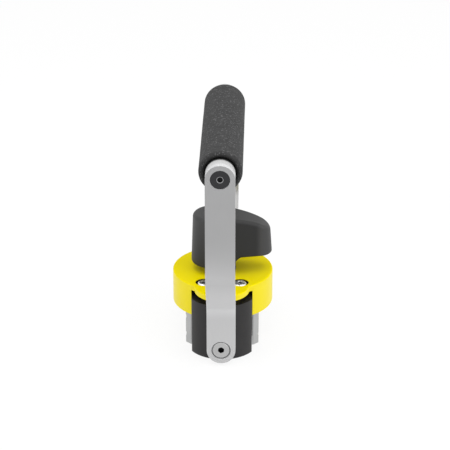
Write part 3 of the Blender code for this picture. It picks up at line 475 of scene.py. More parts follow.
class Finish(Graph):
    """A material while it is being made."""

    def __init__(self, name, tint, roughness, metallic=0.0):
        self.material = bpy.data.materials.new(name)
        self.material.use_nodes = True
        super().__init__(self.material.node_tree)
        self.shader = self.tree.nodes["Principled BSDF"]
        self.feed("Base Color", tint)
        self.feed("Roughness", roughness)
        self.feed("Metallic", metallic)

    def feed(self, socket, value):
        fill(self.tree, self.shader.inputs[socket], value)

    def place(self, scale=(1, 1, 1)):
        """Object coordinates, stretched."""
        where = self.node("ShaderNodeTexCoord", {}, {}, "Object")
        return self.node("ShaderNodeMapping", {}, {"Vector": where, "Scale": scale})

    def along(self, axis):
        """One of the object coordinates."""
        where = self.node("ShaderNodeTexCoord", {}, {}, "Object")
        return self.node("ShaderNodeSeparateXYZ", {}, {"Vector": where}, axis)

    def mark(self, name):
        """A number that was written on the piece's points or faces."""
        return self.node("ShaderNodeAttribute", {"attribute_name": name}, {}, "Fac")

    def noise(self, scale, detail=2.0):
        return self.node("ShaderNodeTexNoise", {}, {"Scale": scale, "Detail": detail, "Vector": self.place()})

    def grain(self, stretch, detail=2.0):
        """Noise stretched along an axis, as brushing and milling leave it."""
        sockets = {"Scale": 1.0, "Detail": detail, "Vector": self.place(stretch)}
        return self.node("ShaderNodeTexNoise", {}, sockets)

    def cells(self, scale):
        return self.node("ShaderNodeTexVoronoi", {"feature": "F1"}, {"Scale": scale, "Vector": self.place()})

    def between(self, value, low, high):
        """0 below low, 1 above high and a smooth step between them."""
        sockets = {"Value": value, "From Min": low, "From Max": high}
        return self.node("ShaderNodeMapRange", {"interpolation_type": "SMOOTHSTEP"}, sockets)

    def rings(self, distance):
        """Fine turned rings: a sine of the distance from the axis."""
        return distance.maths("SINE", distance * (2 * pi / RING_WIDTH)) * 0.5 + 0.5

    def mixed(self, share, first, second):
        """A colour between two colours."""
        node = self.tree.nodes.new("ShaderNodeMix")
        node.data_type = "RGBA"
        sockets = {socket.identifier: socket for socket in (*node.inputs, *node.outputs)}
        for name, value in (("Factor_Float", share), ("A_Color", first), ("B_Color", second)):
            fill(self.tree, sockets[name], value)
        return Value(self.tree, sockets["Result_Color"])

    def toned(self, share, tint, low, high):
        """A colour between two strengths of one tint."""
        return self.mixed(share, times(tint, low), times(tint, high))

    def relief(self, height, depth):
        """Bump from a height of 0 to 1 that stands for a depth in metres."""
        sockets = {"Height": height, "Distance": depth, "Strength": 1.0}
        self.feed("Normal", self.node("ShaderNodeBump", {}, sockets))


def times(tint, share):
    return [c * share for c in tint]


# Finishes

def satin_bar(colours):
    """Blasted and anodised flat bar: fine grain along it, painted shade and light that make it paler low down
    and darker higher up, and a painted highlight on its edges.
    """
    made = Finish("satin bar", colours.bar, 0.44)
    grain = made.grain((2600, 2600, 90), 3.0)
    cloud = made.noise(38.0, 3.0)
    fleck = made.noise(5200.0, 1.0)
    tone = grain * 0.35 + cloud * 0.45
    # Painted shade and light: lit and shaded copies of the bar's tint, paler near the lower bend, darker
    # higher up, and a little darker again at the foot by the pivot
    upper = made.between(made.along("Z"), 0.050, 0.140)
    foot = 1 - made.between(made.along("Z"), 0.044, 0.058)
    # Painted highlight: the bar's edge faces are painted paler than its broad faces
    edge = made.mark("edge")
    low = made.toned(tone, colours.bar, 1.16, 1.34)
    high = made.toned(tone, colours.bar, 0.65, 0.79)
    face = made.mixed(foot * 0.42, made.mixed(upper, low, high), high)
    made.feed("Base Color", made.mixed(edge, face, times(colours.bar, 1.35)))
    made.feed("Metallic", 0.5 - edge * 0.25)
    made.feed("Roughness", 0.44 + grain * 0.06 + cloud * 0.08)
    made.relief(grain * 0.6 + fleck * 0.4, 0.000018)
    return made.material


def cover_paint(colours):
    """Powder coat with a faint orange peel, glossier on the walls, and painted shade darkening the
    counterbores.
    """
    made = Finish("cover paint", colours.paint, 0.30)
    top = made.between(made.along("Z"), COVER_HIGH.z - 0.0014, COVER_HIGH.z)
    peel = made.noise(820.0)
    paint = made.toned(made.noise(26.0), colours.paint, 0.97, 1.02)
    # Painted shade: points deep in the counterbores get a near-black colour, for the shade round the screw
    # heads
    bare = made.between(made.mark("depth"), 0.0004, 0.0012)
    made.feed("Specular IOR Level", 0.02)
    made.feed("Coat IOR", 1.6)
    made.feed("Coat Roughness", 0.3)
    made.feed("Coat Weight", 0.5 - top * 0.5)
    made.feed("Base Color", made.mixed(bare, paint, (0.028, 0.024, 0.018)))
    made.feed("Roughness", 0.34 + peel * 0.10)
    made.relief(peel, 0.00006)
    return made.material


def knob_plastic(colours):
    """Glass-filled plastic with a fine spark-eroded grain, and a painted highlight paler on its crown, tip
    and upper heel.
    """
    made = Finish("knob plastic", colours.plastic, 0.55)
    grain = made.cells(1500.0)
    fine = made.noise(4200.0)
    cloud = made.noise(45.0, 3.0)
    plain = made.toned(cloud, colours.plastic, 0.85, 1.2)
    made.feed("Specular IOR Level", 0.35)
    # Painted highlight: the crown, tip and upper heel are painted paler than the rest of the knob
    made.feed("Base Color", made.mixed(made.mark("rubbed"), plain, times(colours.plastic, HIGHLIGHT_GAIN)))
    made.feed("Roughness", 0.42 + fine * 0.12 + cloud * 0.06)
    made.relief(grain * 0.6 + fine * 0.4, 0.00005)
    return made.material


def grip_foam(colours):
    """Closed-cell foam: open pores on a soft skin, pale flecks, and painted shade on the ends round the bar.
    """
    made = Finish("grip foam", colours.foam, 0.9)
    cell = made.cells(520.0)
    pore = 1 - made.between(cell, 0.10, 0.42)
    fleck = made.between(made.noise(600.0), 0.58, 0.67)
    cloud = made.noise(130.0, 5.0)
    rise = made.along("Z") - GRIP_HEIGHT
    across = (made.along("X") ** 2 + rise * rise) ** 0.5
    # Painted shade: the foam's ends are painted near-black round the bar, where shade falls between foam and
    # bar
    core = 1 - made.between(across, 0.0134, 0.0174)
    end = made.between(abs(made.along("Y")), FOAM_HIGH.y - 0.0030, FOAM_HIGH.y - 0.0008) * core
    skin = made.toned(cloud, colours.foam, 0.30, 1.60)
    flecked = made.mixed(fleck * 0.8, skin, times(colours.foam, 4.4))
    pitted = made.mixed(pore * 0.55, flecked, times(colours.foam, 0.35))
    made.feed("Base Color", made.mixed(end, pitted, times(colours.foam, 0.08)))
    made.feed("Roughness", 0.86 + cloud * 0.1)
    made.relief(cell + fleck * 0.3, 0.00025)
    return made.material


def black_steel(colours):
    """Blackened steel with faint milling marks, and ground bare steel on the working face."""
    made = Finish("black steel", colours.steel, 0.4, 0.55)
    lines = made.grain((60, 60, 2400), 3.0)
    cloud = made.noise(55.0, 4.0)
    ground = made.grain((3000, 40, 40))
    face = 1 - made.between(made.along("Z"), 0.0001, 0.0004)
    black = made.toned(cloud, colours.steel, 0.75, 1.4)
    bare = made.mixed(ground, (0.36, 0.36, 0.37), (0.52, 0.52, 0.53))
    made.feed("Base Color", made.mixed(face, black, bare))
    made.feed("Metallic", 0.5 + face * 0.5)
    made.feed("Roughness", 0.34 + cloud * 0.14 + lines * 0.06 - face * 0.08)
    made.relief(lines * (1 - face) + ground * face, 0.00002)
    return made.material


def turned_metal(name, tint, roughness, metallic=1.0, worn=None):
    """Plated or turned metal with rings round the axis, painted shade in the socket, and a worn ring round
    its mouth.
    """
    made = Finish(name, tint, roughness, metallic)
    across = made.mark("from_axis")
    # Painted shade: points deep in a socket or recess are painted near-black
    painted_socket_shade = made.between(made.mark("depth"), 0.0001, 0.0007)
    wave = made.rings(across)
    cloud = made.noise(180.0, 3.0)
    plated = made.toned(cloud, tint, 0.86, 1.10)
    if worn:
        inner, outer = [made.between(across, radius, radius + 0.0002) for radius in worn]
        plated = made.mixed(inner * (1 - outer) * 0.9, plated, (0.55, 0.55, 0.56))
    made.feed("Base Color", made.mixed(painted_socket_shade, plated, (0.010, 0.010, 0.011)))
    made.feed("Roughness", roughness - 0.04 + cloud * 0.08 + wave * 0.04 + painted_socket_shade * 0.3)
    made.relief(wave, 0.000008)
    return made.material


def turned_bar(colours):
    """Round bar with a pale matt skin: fine rings along it, and a painted contact shadow where the foam
    starts.
    """
    made = Finish("turned bar", colours.bar_skin, 0.5, 0.25)
    ring = made.grain((40, 2600, 40))
    cloud = made.noise(60.0, 3.0)
    # Painted shadow: the bar is painted near-black just outside the foam's ends, where the foam shades it
    painted_contact_shadow = 1 - made.between(abs(made.along("Y")), FOAM_HIGH.y + 0.0006, FOAM_HIGH.y + 0.0036)
    unshaded_skin = made.toned(cloud, colours.bar_skin, 0.92, 1.04)
    made.feed("Base Color", made.mixed(painted_contact_shadow, unshaded_skin, (0.02, 0.02, 0.02)))
    made.feed("Roughness", 0.44 + ring * 0.10 + cloud * 0.06)
    made.relief(ring, 0.00002)
    return made.material


def bare_aluminium(colours):
    """Milled aluminium: fine lines across the walls and a soft cloud of oxide."""
    made = Finish("bare aluminium", colours.aluminium, 0.4, 1.0)
    lines = made.grain((70, 70, 2200), 3.0)
    cloud = made.noise(48.0, 3.0)
    made.feed("Base Color", made.toned(cloud, colours.aluminium, 0.88, 1.06))
    made.feed("Roughness", 0.32 + lines * 0.10 + cloud * 0.06)
    made.relief(lines, 0.000025)
    return made.material


def plain_metal(name, tint, roughness):
    """Machined metal for pieces inside, with a soft cloud and fine random scratches."""
    made = Finish(name, tint, roughness, 1.0)
    cloud = made.noise(70.0, 3.0)
    scratch = made.grain((400, 2600, 400))
    made.feed("Base Color", made.toned(cloud, tint, 0.86, 1.08))
    made.feed("Roughness", roughness + cloud * 0.08 + scratch * 0.05)
    made.relief(scratch, 0.00001)
    return made.material


def moulded(name, tint, roughness):
    """Moulded rubber or plastic with a fine matt grain."""
    made = Finish(name, tint, roughness)
    grain = made.noise(2600.0)
    made.feed("Base Color", made.toned(made.noise(60.0), tint, 0.85, 1.12))
    made.feed("Roughness", roughness - 0.03 + grain * 0.08)
    made.relief(grain, 0.00003)
    return made.material


# Geometry Nodes

class Tree(Graph):
    """A Geometry Nodes tree while it is being made. Its last input is the finish."""

    def __init__(self, name, inputs):
        super().__init__(bpy.data.node_groups.new(name, "GeometryNodeTree"))
        self.tree.is_modifier = True
        sockets = self.tree.interface
        sockets.new_socket("Geometry", in_out="OUTPUT", socket_type="NodeSocketGeometry")
        sockets.new_socket("Geometry", in_out="INPUT", socket_type="NodeSocketGeometry")
        for socket_name, kind in (*inputs.items(), ("Finish", "Material")):
            sockets.new_socket(socket_name, in_out="INPUT", socket_type="NodeSocket" + kind)
        self.group = self.tree.nodes.new("NodeGroupInput")

    def input(self, name):
        return Value(self.tree, self.group.outputs[name])

    def end(self, geometry):
        """Closes the tree: real geometry, with its material set."""
        real = self.node("GeometryNodeRealizeInstances", {}, {"Geometry": geometry})
        sockets = {"Geometry": real, "Material": self.input("Finish")}
        out = self.tree.nodes.new("NodeGroupOutput")
        fill(self.tree, out.inputs["Geometry"], self.node("GeometryNodeSetMaterial", {}, sockets))
        return self.tree


def grown(name, seed_bm, tree, values):
    """A plain mesh object that a Geometry Nodes tree makes from a starting mesh and named values."""
    body = new_object(name, seed_bm)
    modifier = body.modifiers.new(name, "NODES")
    modifier.node_group = tree
    for item in tree.interface.items_tree:
        if item.in_out == "INPUT" and item.name in values:
            modifier[item.identifier] = values[item.name]
    return baked(body)


def screw_tree():
    """Puts a screw at each point, along the point's outward direction, tightened at a random angle."""
    tree = Tree("Screws at points", {"Screw": "Object", "Seed": "Int"})
    screw = tree.node("GeometryNodeObjectInfo", {}, {"Object": tree.input("Screw")}, "Geometry")
    outward = tree.node("GeometryNodeInputNamedAttribute", {"data_type": "FLOAT_VECTOR"}, {"Name": "outward"})
    aim = tree.node("FunctionNodeAlignRotationToVector", {"axis": "Z"}, {"Vector": outward})
    stood = tree.node("GeometryNodeInstanceOnPoints", {}, {
        "Points": tree.input("Geometry"), "Instance": screw, "Rotation": aim})
    angle = tree.node("FunctionNodeRandomValue", {"data_type": "FLOAT"}, {"Seed": tree.input("Seed")}, 1)
    spin = tree.node("ShaderNodeCombineXYZ", {}, {"Z": angle * (2 * pi)})
    return tree.end(tree.node("GeometryNodeRotateInstances", {}, {
        "Instances": stood, "Rotation": spin, "Local Space": True}))


def bar_tree():
    """Sweeps a flat bar along a path in XY, with round bends."""
    tree = Tree("Bent flat bar", {
        "Width": "Float", "Thickness": "Float", "Bend Radius": "Float", "Bend Steps": "Int"})
    path = tree.node("GeometryNodeMeshToCurve", {}, {"Mesh": tree.input("Geometry")})
    bent = tree.node("GeometryNodeFilletCurve", {"mode": "POLY"}, {
        "Curve": path, "Radius": tree.input("Bend Radius"), "Count": tree.input("Bend Steps")})
    level = tree.node("GeometryNodeSetCurveNormal", {"mode": "Z_UP"}, {"Curve": bent})
    section = tree.node("GeometryNodeCurvePrimitiveQuadrilateral", {}, {
        "Width": tree.input("Thickness"), "Height": tree.input("Width")})
    return tree.end(tree.node("GeometryNodeCurveToMesh", {}, {
        "Curve": level, "Profile Curve": section, "Fill Caps": True}))


def foam_tree():
    """A sleeve turned round its axis, with round ends and an uneven skin of cells."""
    tree = Tree("Foam sleeve", {
        "Bore": "Float", "Radius": "Float", "Length": "Float", "End Radius": "Float", "Step": "Float",
        "Round Steps": "Int", "Skin": "Float", "Cells": "Float", "Seed": "Float"})
    bore = tree.input("Bore")
    radius = tree.input("Radius")
    hoop = tree.node("GeometryNodeCurvePrimitiveCircle", {"mode": "RADIUS"}, {
        "Resolution": tree.input("Round Steps"), "Radius": (radius + bore) * 0.5})
    section = tree.node("GeometryNodeCurvePrimitiveQuadrilateral", {}, {
        "Width": radius - bore, "Height": tree.input("Length")})
    soft = tree.node("GeometryNodeFilletCurve", {"mode": "POLY"}, {
        "Curve": section, "Radius": tree.input("End Radius"), "Count": FILLET_STEPS})
    fine = tree.node("GeometryNodeResampleCurve", {"mode": "LENGTH"}, {
        "Curve": soft, "Length": tree.input("Step")})
    sleeve = tree.node("GeometryNodeCurveToMesh", {}, {"Curve": hoop, "Profile Curve": fine})
    place = tree.node("GeometryNodeInputPosition", {}, {})

    def noise(scale, detail):
        sockets = {"Vector": place, "W": tree.input("Seed"), "Scale": scale, "Detail": detail}
        return tree.node("ShaderNodeTexNoise", {"noise_dimensions": "4D"}, sockets)

    height = noise(tree.input("Cells"), 2.0) * 0.7 + (noise(34.0, 1.0) - 1.0)
    normal = tree.node("GeometryNodeInputNormal", {}, {})
    push = tree.node("ShaderNodeVectorMath", {"operation": "SCALE"}, {
        "Vector": normal, "Scale": height * tree.input("Skin")})
    return tree.end(tree.node("GeometryNodeSetPosition", {}, {"Geometry": sleeve, "Offset": push}))


# Screws along +Z, with the top of the head at height 0

def marked(body, socket=0.0):
    """Writes on every point of a screw how far it is from the axis, and how deep it is in the socket."""
    def across(vert):
        return sqrt(vert.co.x ** 2 + vert.co.y ** 2)

    marks(body, "from_axis", across)
    marks(body, "depth", lambda vert: -vert.co.z if across(vert) < socket else 0.0)
    return body


def hexagon(flats, depth):
    return cylinder(flats / sqrt(3), -depth, PAST, 6)


def socket_mouth(flats, depth):
    """The shallow cone round the mouth of a hexagon socket."""
    corner = flats / sqrt(3)
    foot, mouth = corner * 0.86, corner * 1.12
    return turned([(0, -depth), (foot, -depth), (mouth, 0), (mouth, PAST), (0, PAST)])


def cross_recess(sizes):
    """A cross recess that narrows towards its foot."""
    span = sizes.cross_span / 2
    wing = sizes.cross_width / 2
    taper = 0.62
    half = [(span, wing), (wing, wing), (wing, span), (-wing, span), (-wing, wing), (-span, wing)]
    cross = prism(half + opposite(half), -sizes.cross_depth, PAST)
    for vert in cross.verts:
        share = 1 + vert.co.z / sizes.cross_depth * taper if vert.co.z < 0 else 1.0
        vert.co.x *= share
        vert.co.y *= share
    return cross


def pan_head(sizes):
    """Pan head screw with a cross recess, seen in the cover's counterbores."""
    radius = (SCREW_HIGH.x - SCREW_LOW.x) / 2
    shank = radius / 2
    reach = SCREW_LOW.z - SCREW_HIGH.z
    height = 0.0042
    dome = 0.0022
    crown = arc((radius - dome, -dome), dome, 0, pi / 2, FILLET_STEPS)
    body = turned([(0, reach), (shank, reach), (shank, -height), (radius, -height), *crown, (0, 0)])
    return marked(shape("pan_head", body, [cross_recess(sizes)], edge=0.00012, steps=2), sizes.cross_span / 2)


def countersunk(name, radius, shank, reach, flats):
    """Countersunk screw with a hexagon socket."""
    rim = RIM_SHARE * radius
    body = turned([
        (0, -reach), (shank - rim, -reach), (shank, -reach + rim), (shank, -rim - radius + shank),
        (radius, -rim), (radius, 0), (0, 0),
    ])
    depth = 0.45 * flats
    cuts = [hexagon(flats, depth), socket_mouth(flats, depth * 0.2)]
    return marked(shape(name, body, cuts, edge=0.0001, steps=2), flats * SOCKET_REACH)


def shoulder_bolt(flats):
    """Low head, shoulder and thread of a pivot bolt."""
    reach = BOLT_HIGH.y - BOLT_LOW.y
    shoulder_end = BOLT_LOW.y - SPACER_HIGH.y
    head = BOLT_RADIUS - HEAD_GAP
    thread, shoulder, seat, chamfer = 0.004, 0.005, -0.0022, 0.0005
    body = turned([
        (0, -reach), (thread, -reach), (thread, shoulder_end), (shoulder, shoulder_end),
        (shoulder, seat), (head, seat), (head, -chamfer), (head - chamfer, 0), (0, 0),
    ])
    cuts = [hexagon(flats, 0.0036), socket_mouth(flats, 0.0004)]
    return marked(shape("shoulder_bolt", body, cuts, edge=0.00012, steps=2), flats * SOCKET_REACH)


def cap_screw(flats):
    """Socket head cap screw that holds the knob on its shaft."""
    reach = KNOB_SCREW_HIGH.z - KNOB_SCREW_LOW.z
    head = (KNOB_SCREW_HIGH.x - KNOB_SCREW_LOW.x) / 2
    thread, height, chamfer = 0.003, 0.006, 0.0004
    body = turned([
        (0, -reach), (thread, -reach), (thread, -height), (head, -height), (head, -chamfer),
        (head - chamfer, 0), (0, 0),
    ])
    made = shape("cap_screw", body, [hexagon(flats, height / 2)], edge=0.0001, steps=2)
    return marked(made, flats * SOCKET_REACH)


def screws(name, tree, pattern, spots, material, turn_seed, slot, body, *nodes):
    """Puts copies of one screw at spots, each a place and an outward direction."""
    bm = bmesh.new()
    outward = bm.verts.layers.float_vector.new("outward")
    for place, direction in spots:
        bm.verts.new(place)[outward] = direction
    made = grown(name, bm, tree, {"Screw": pattern, "Seed": turn_seed, "Finish": material})
    bpy.data.objects.remove(pattern)
    placed(made, material, slot, body, *nodes)


def wall_screw_spots(*sides):
    """Place and direction of the screws that hold the side walls."""
    spots = []
    for side in sides:
        for node in WALL_SCREWS[:4]:
            middle = middle_of(node)
            spots.append(((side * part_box(node)[1].x, middle.y, middle.z), (side, 0, 0)))
    return spots


def end_spots(face, height):
    """Place and direction of a screw in front and of its twin at the back."""
    return [((0, side * -face, height), (0, side, 0)) for side in (-1, 1)]


# Operators

class LIFTER_OT_pole_shoes(Operator):
    """Make the two blackened pole shoes"""
    bl_idname = "lifter.pole_shoes"
    bl_label = "Pole shoes"

    def execute(self, context):
        sizes = context.scene.lifter_housing
        half = SHOE_HIGH.x
        split = -SHOE_HIGH.y
        centre = -SHOE_LOW.y - sizes.nose
        bore_angle = asin(split / sizes.bore)
        nose_angle = acos(half / sizes.nose)
        outline = arc((0, 0), sizes.bore, -bore_angle, bore_angle - pi, HALF_ROUND)
        outline.append((-half, -split))
        outline += arc((0, -centre), sizes.nose, nose_angle - pi, -nose_angle, HALF_ROUND)
        outline.append((half, -split))
        seat = -SPACER_HIGH.y - GAP
        pivot = stepped(sizes.pivot_thread, sizes.seat, -BOLT_HIGH.y - GAP, seat, -SHOE_LOW.y + PAST)
        cuts = [moved(laid(pivot, "X"), z=PIVOT_HEIGHT)]
        hole_x = (SCREW_LOW.x + SCREW_HIGH.x) / 2
        hole_y = (SCREW_LOW.y + SCREW_HIGH.y) / 2
        for x in (-hole_x, hole_x):
            cuts.append(moved(cylinder(SCREW_HOLE, SCREW_LOW.z - GAP, SHOE_HIGH.z + PAST), x, -hole_y))
        front = shape("front_pole_shoe_steel", prism(outline, 0, SHOE_HIGH.z), cuts, edge=sizes.shoe_edge)
        placed_pair(front, "rear_pole_shoe_steel", black_steel(context.scene.lifter_finishes),
                    "black_steel", "base", "front_pole_shoe", "rear_pole_shoe")
        return {"FINISHED"}


class LIFTER_OT_side_walls(Operator):
    """Make the two aluminium side walls between the pole shoes"""
    bl_idname = "lifter.side_walls"
    bl_label = "Side walls"

    def execute(self, context):
        sizes = context.scene.lifter_housing
        outer = WALL_HIGH.x
        end = WALL_HIGH.y
        flange = outer - sizes.flange
        tongue = -SHOE_HIGH.y - GAP
        reach = asin(tongue / sizes.bore)
        side = outer - sizes.corner
        outline = arc((0, 0), sizes.bore, -reach, reach, HALF_ROUND // 2)
        outline += [(flange, tongue), (flange, end), (side, end), (outer, end - sizes.corner)]
        outline += [(outer, sizes.corner - end), (side, -end), (flange, -end), (flange, -tongue)]
        sunk, hole, rim = 0.0105, 0.0023, 0.0005
        mouth = WALL_SCREW_RADIUS + GAP
        cuts = []
        for place, direction in wall_screw_spots(1):
            sink = turned([(0, -sunk), (hole, -sunk), (hole, -hole), (mouth, -rim), (mouth, PAST), (0, PAST)])
            cuts.append(moved(laid(sink, "Y"), *place))
        right = shape("right_side_wall_aluminium", prism(outline, WALL_LOW.z, WALL_HIGH.z), cuts)
        placed_pair(right, "left_side_wall_aluminium", bare_aluminium(context.scene.lifter_finishes),
                    "bare_aluminium", "base", "right_side_wall", "left_side_wall")
        return {"FINISHED"}


class LIFTER_OT_cover(Operator):
    """Make the notched yellow cover with its two lobes"""
    bl_idname = "lifter.cover"
    bl_label = "Cover"

    def execute(self, context):
        sizes = context.scene.lifter_cover
        top = COVER_HIGH.z
        underside = top - sizes.thickness
        wall = SHOE_HIGH.x + GAP
        lobe = wall - sizes.lobe_inset
        centre = COVER_HIGH.y - lobe
        notch = self.notch(sizes, wall, lobe - sizes.boss_inset, centre - sizes.boss_setback)
        below = COVER_LOW.z - PAST
        above = top + PAST
        hole_bottom = underside - PAST
        cuts = [
            prism(self.pocket(wall - (sizes.lobe_inset + sizes.boss_inset) / 2), below, underside),
            prism(notch, below, top - sizes.plate),
            prism(opposite(notch), below, top - sizes.plate),
            stepped(sizes.shaft_hole, sizes.seal_housing, hole_bottom, top - sizes.seal_depth, above),
        ]
        middles = [middle_of(node) for node in COVER_SCREWS]
        for middle in middles:
            hole = stepped(SCREW_HOLE, sizes.counterbore, hole_bottom, top - sizes.counterbore_depth, above)
            cuts.append(moved(hole, middle.x, middle.y))
        cover = shape("cover_shell", self.block(sizes, COVER_HIGH.x, lobe, centre), cuts, edge=0.00035)

        def bore_depth(vert):
            near = min((vert.co - middle).xy.length for middle in middles)
            return top - vert.co.z if near < sizes.counterbore + GAP else 0.0

        # Depth in the counterbores, which the paint turns into painted shade
        marks(cover, "depth", bore_depth)
        placed(cover, cover_paint(context.scene.lifter_finishes), "yellow_paint", "base", "top_cover")
        return {"FINISHED"}

    def plan(self, radius, lobe, centre):
        """The cover from above: a disc with a lobe over each pole shoe."""
        meeting = (radius ** 2 - lobe ** 2 + centre ** 2) / (2 * centre)
        on_disc = asin(meeting / radius)
        on_lobe = asin((meeting - centre) / lobe)
        half = arc((0, 0), radius, -on_disc, on_disc, 2 * HALF_ROUND)[:-1]
        half += arc((0, centre), lobe, on_lobe, pi - on_lobe, 2 * HALF_ROUND)[:-1]
        return half + opposite(half)

    def block(self, sizes, radius, lobe, centre):
        """The plan drawn up from the skirt to the top face, with a round edge there."""
        rings = [(0.0, COVER_LOW.z)]
        rings += arc((sizes.edge, COVER_HIGH.z - sizes.edge), sizes.edge, pi, pi / 2, FILLET_STEPS)
        return lofted([
            [(x, y, height) for x, y in self.plan(radius - inset, lobe - inset, centre)]
            for inset, height in rings
        ])

    def notch(self, sizes, wall, boss, centre):
        """The front notch in plan: open in front, with the screw boss in it and a slit each side."""
        depth = centre - sizes.slit_depth
        far = 2 * COVER_HIGH.y
        slit = (wall - boss) / 2
        face = arc((0, -centre), boss, -pi, 0, 2 * HALF_ROUND)
        right = arc((boss + slit, -depth), slit, pi, 0, FILLET_STEPS * 2)
        return mirrored_x(right) + face + right + [(wall, -far), (-wall, -far)]

    def pocket(self, under):
        """The hollow under the cover, which the side walls fit and which runs out below both bosses."""
        end = WALL_HIGH.y + GAP
        wall = WALL_HIGH.x + GAP
        far = 2 * COVER_HIGH.y
        right = [(under, -far), (under, -end), (wall - WALL_CORNER, -end), (wall, WALL_CORNER - end)]
        right += [(wall, end - WALL_CORNER), (wall - WALL_CORNER, end), (under, end), (under, far)]
        return right + mirrored_x(right)


class LIFTER_OT_knob(Operator):
    """Make the turning knob, a lofted lever on a round neck, and its screw"""
    bl_idname = "lifter.knob"
    bl_label = "Knob"

    def execute(self, context):
        sizes = context.scene.lifter_knob
        colours = context.scene.lifter_finishes
        foot = COVER_HIGH.z + sizes.standoff
        neck = cylinder(sizes.neck, KNOB_LOW.z, foot + sizes.undercut + sizes.top_fillet, ROUND)
        seat = KNOB_HIGH.z - sizes.recess_depth
        screw_depth, shaft = 0.017, 0.0083
        hole = stepped(SCREW_HOLE, sizes.recess, seat - screw_depth, seat, KNOB_HIGH.z + PAST)
        socket = cylinder(shaft, KNOB_LOW.z - PAST, SHAFT_HIGH.z + GAP)
        knob = shape("knob_lever", self.loft(sizes, foot), [hole, socket], [neck])
        # Writes where the knob gets its painted highlight
        marks(knob, "rubbed", lambda vert: self.rubbed(sizes, foot, *vert.co))
        placed(knob, knob_plastic(colours), "black_plastic", "switch", "knob")
        black = turned_metal("knob screw black", colours.black_screw, 0.34, 0.7)
        pattern = cap_screw(context.scene.lifter_screws.hexagon)
        spots = [((0, 0, KNOB_SCREW_HIGH.z), (0, 0, 1))]
        screws("knob_cap_screw", screw_tree(), pattern, spots, black, 1,
               "black_screw", "switch", "knob_screw")
        return {"FINISHED"}

    def rubbed(self, sizes, foot, x, y, z):
        """How strongly a point gets the painted highlight: on the crown, at the tip and on the upper part of
        the heel.
        """
        top = self.top(sizes, min(max(x, KNOB_LOW.x), KNOB_HIGH.x))
        tip_start, tip_fade = 0.029, 0.006
        heel_start, heel_fade = -0.004, 0.008
        rise_start, rise_fade = 0.013, 0.007
        crown = eased((z - top) / sizes.top_fillet + 1)
        tip = eased((x - tip_start) / tip_fade)
        heel = eased((heel_start - x) / heel_fade) * eased((z - foot - rise_start) / rise_fade)
        return max(crown * 0.5, tip, heel)

    def plan(self, sizes, inset):
        """The knob from above: a broad round heel and a narrow round tip joined by straight flanks."""
        heel = sizes.heel - inset
        tip = sizes.tip - inset
        heel_centre = KNOB_LOW.x + sizes.heel
        tip_centre = KNOB_HIGH.x - sizes.tip
        side = pi / 2 - asin((heel - tip) / (tip_centre - heel_centre))
        heel_arc = arc((heel_centre, 0), heel, side, 2 * pi - side, 2 * HALF_ROUND)
        tip_arc = arc((tip_centre, 0), tip, -side, side, HALF_ROUND)
        near = self.flank(heel_arc[-1], tip_arc[0])
        return heel_arc + near + tip_arc + self.flank(tip_arc[-1], heel_arc[0])

    def flank(self, start, end):
        """Points that divide a straight flank, without its ends."""
        shares = [i / HALF_ROUND for i in range(1, HALF_ROUND)]
        return [(start[0] + (end[0] - start[0]) * s, start[1] + (end[1] - start[1]) * s) for s in shares]

    def top(self, sizes, x):
        """The top face stays level over the heel and falls ever faster towards the tip."""
        share = (x - KNOB_LOW.x) / (KNOB_HIGH.x - KNOB_LOW.x)
        return KNOB_HIGH.z - sizes.tip_drop * share ** sizes.drop_power

    def underside(self, sizes, foot, x):
        """The underside is low at the heel and rises to leave room for a finger under the tip."""
        share = (x - sizes.undercut_start) / (sizes.undercut_end - sizes.undercut_start)
        return foot + sizes.undercut * eased(share)

    def loft(self, sizes, foot):
        """Rings of the plan from the middle of the foot, up the sides, to the middle of the top."""
        rings = []
        for step in range(FILLET_STEPS + 1):
            angle = pi / 2 * step / FILLET_STEPS
            plan = self.plan(sizes, sizes.foot_fillet * (1 - sin(angle)))
            rise = sizes.foot_fillet * (1 - cos(angle))
            rings.append([(x, y, self.underside(sizes, foot, x) + rise) for x, y in plan])
        for step in range(2 * FILLET_STEPS + 1):
            angle = pi / 2 * step / (2 * FILLET_STEPS)
            plan = self.plan(sizes, sizes.draft + sizes.top_fillet * (1 - cos(angle)))
            drop = sizes.top_fillet * (1 - sin(angle))
            rings.append([(x, y, self.top(sizes, x) - drop) for x, y in plan])
        middle = (KNOB_LOW.x + KNOB_HIGH.x) / 2
        rim = rings[-1]
        base = rings[0]
        for step in range(FILLET_STEPS - 1, 0, -1):
            share = step / FILLET_STEPS
            inner = [(middle + (x - middle) * share, y * share) for x, y, z in rim]
            rings.append([(x, y, self.top(sizes, x)) for x, y in inner])
            outer = [(middle + (x - middle) * share, y * share) for x, y, z in base]
            rings.insert(0, [(x, y, self.underside(sizes, foot, x)) for x, y in outer])
        ends = [(middle, 0, self.underside(sizes, foot, middle)), (middle, 0, self.top(sizes, middle))]
        return lofted(rings, ends)


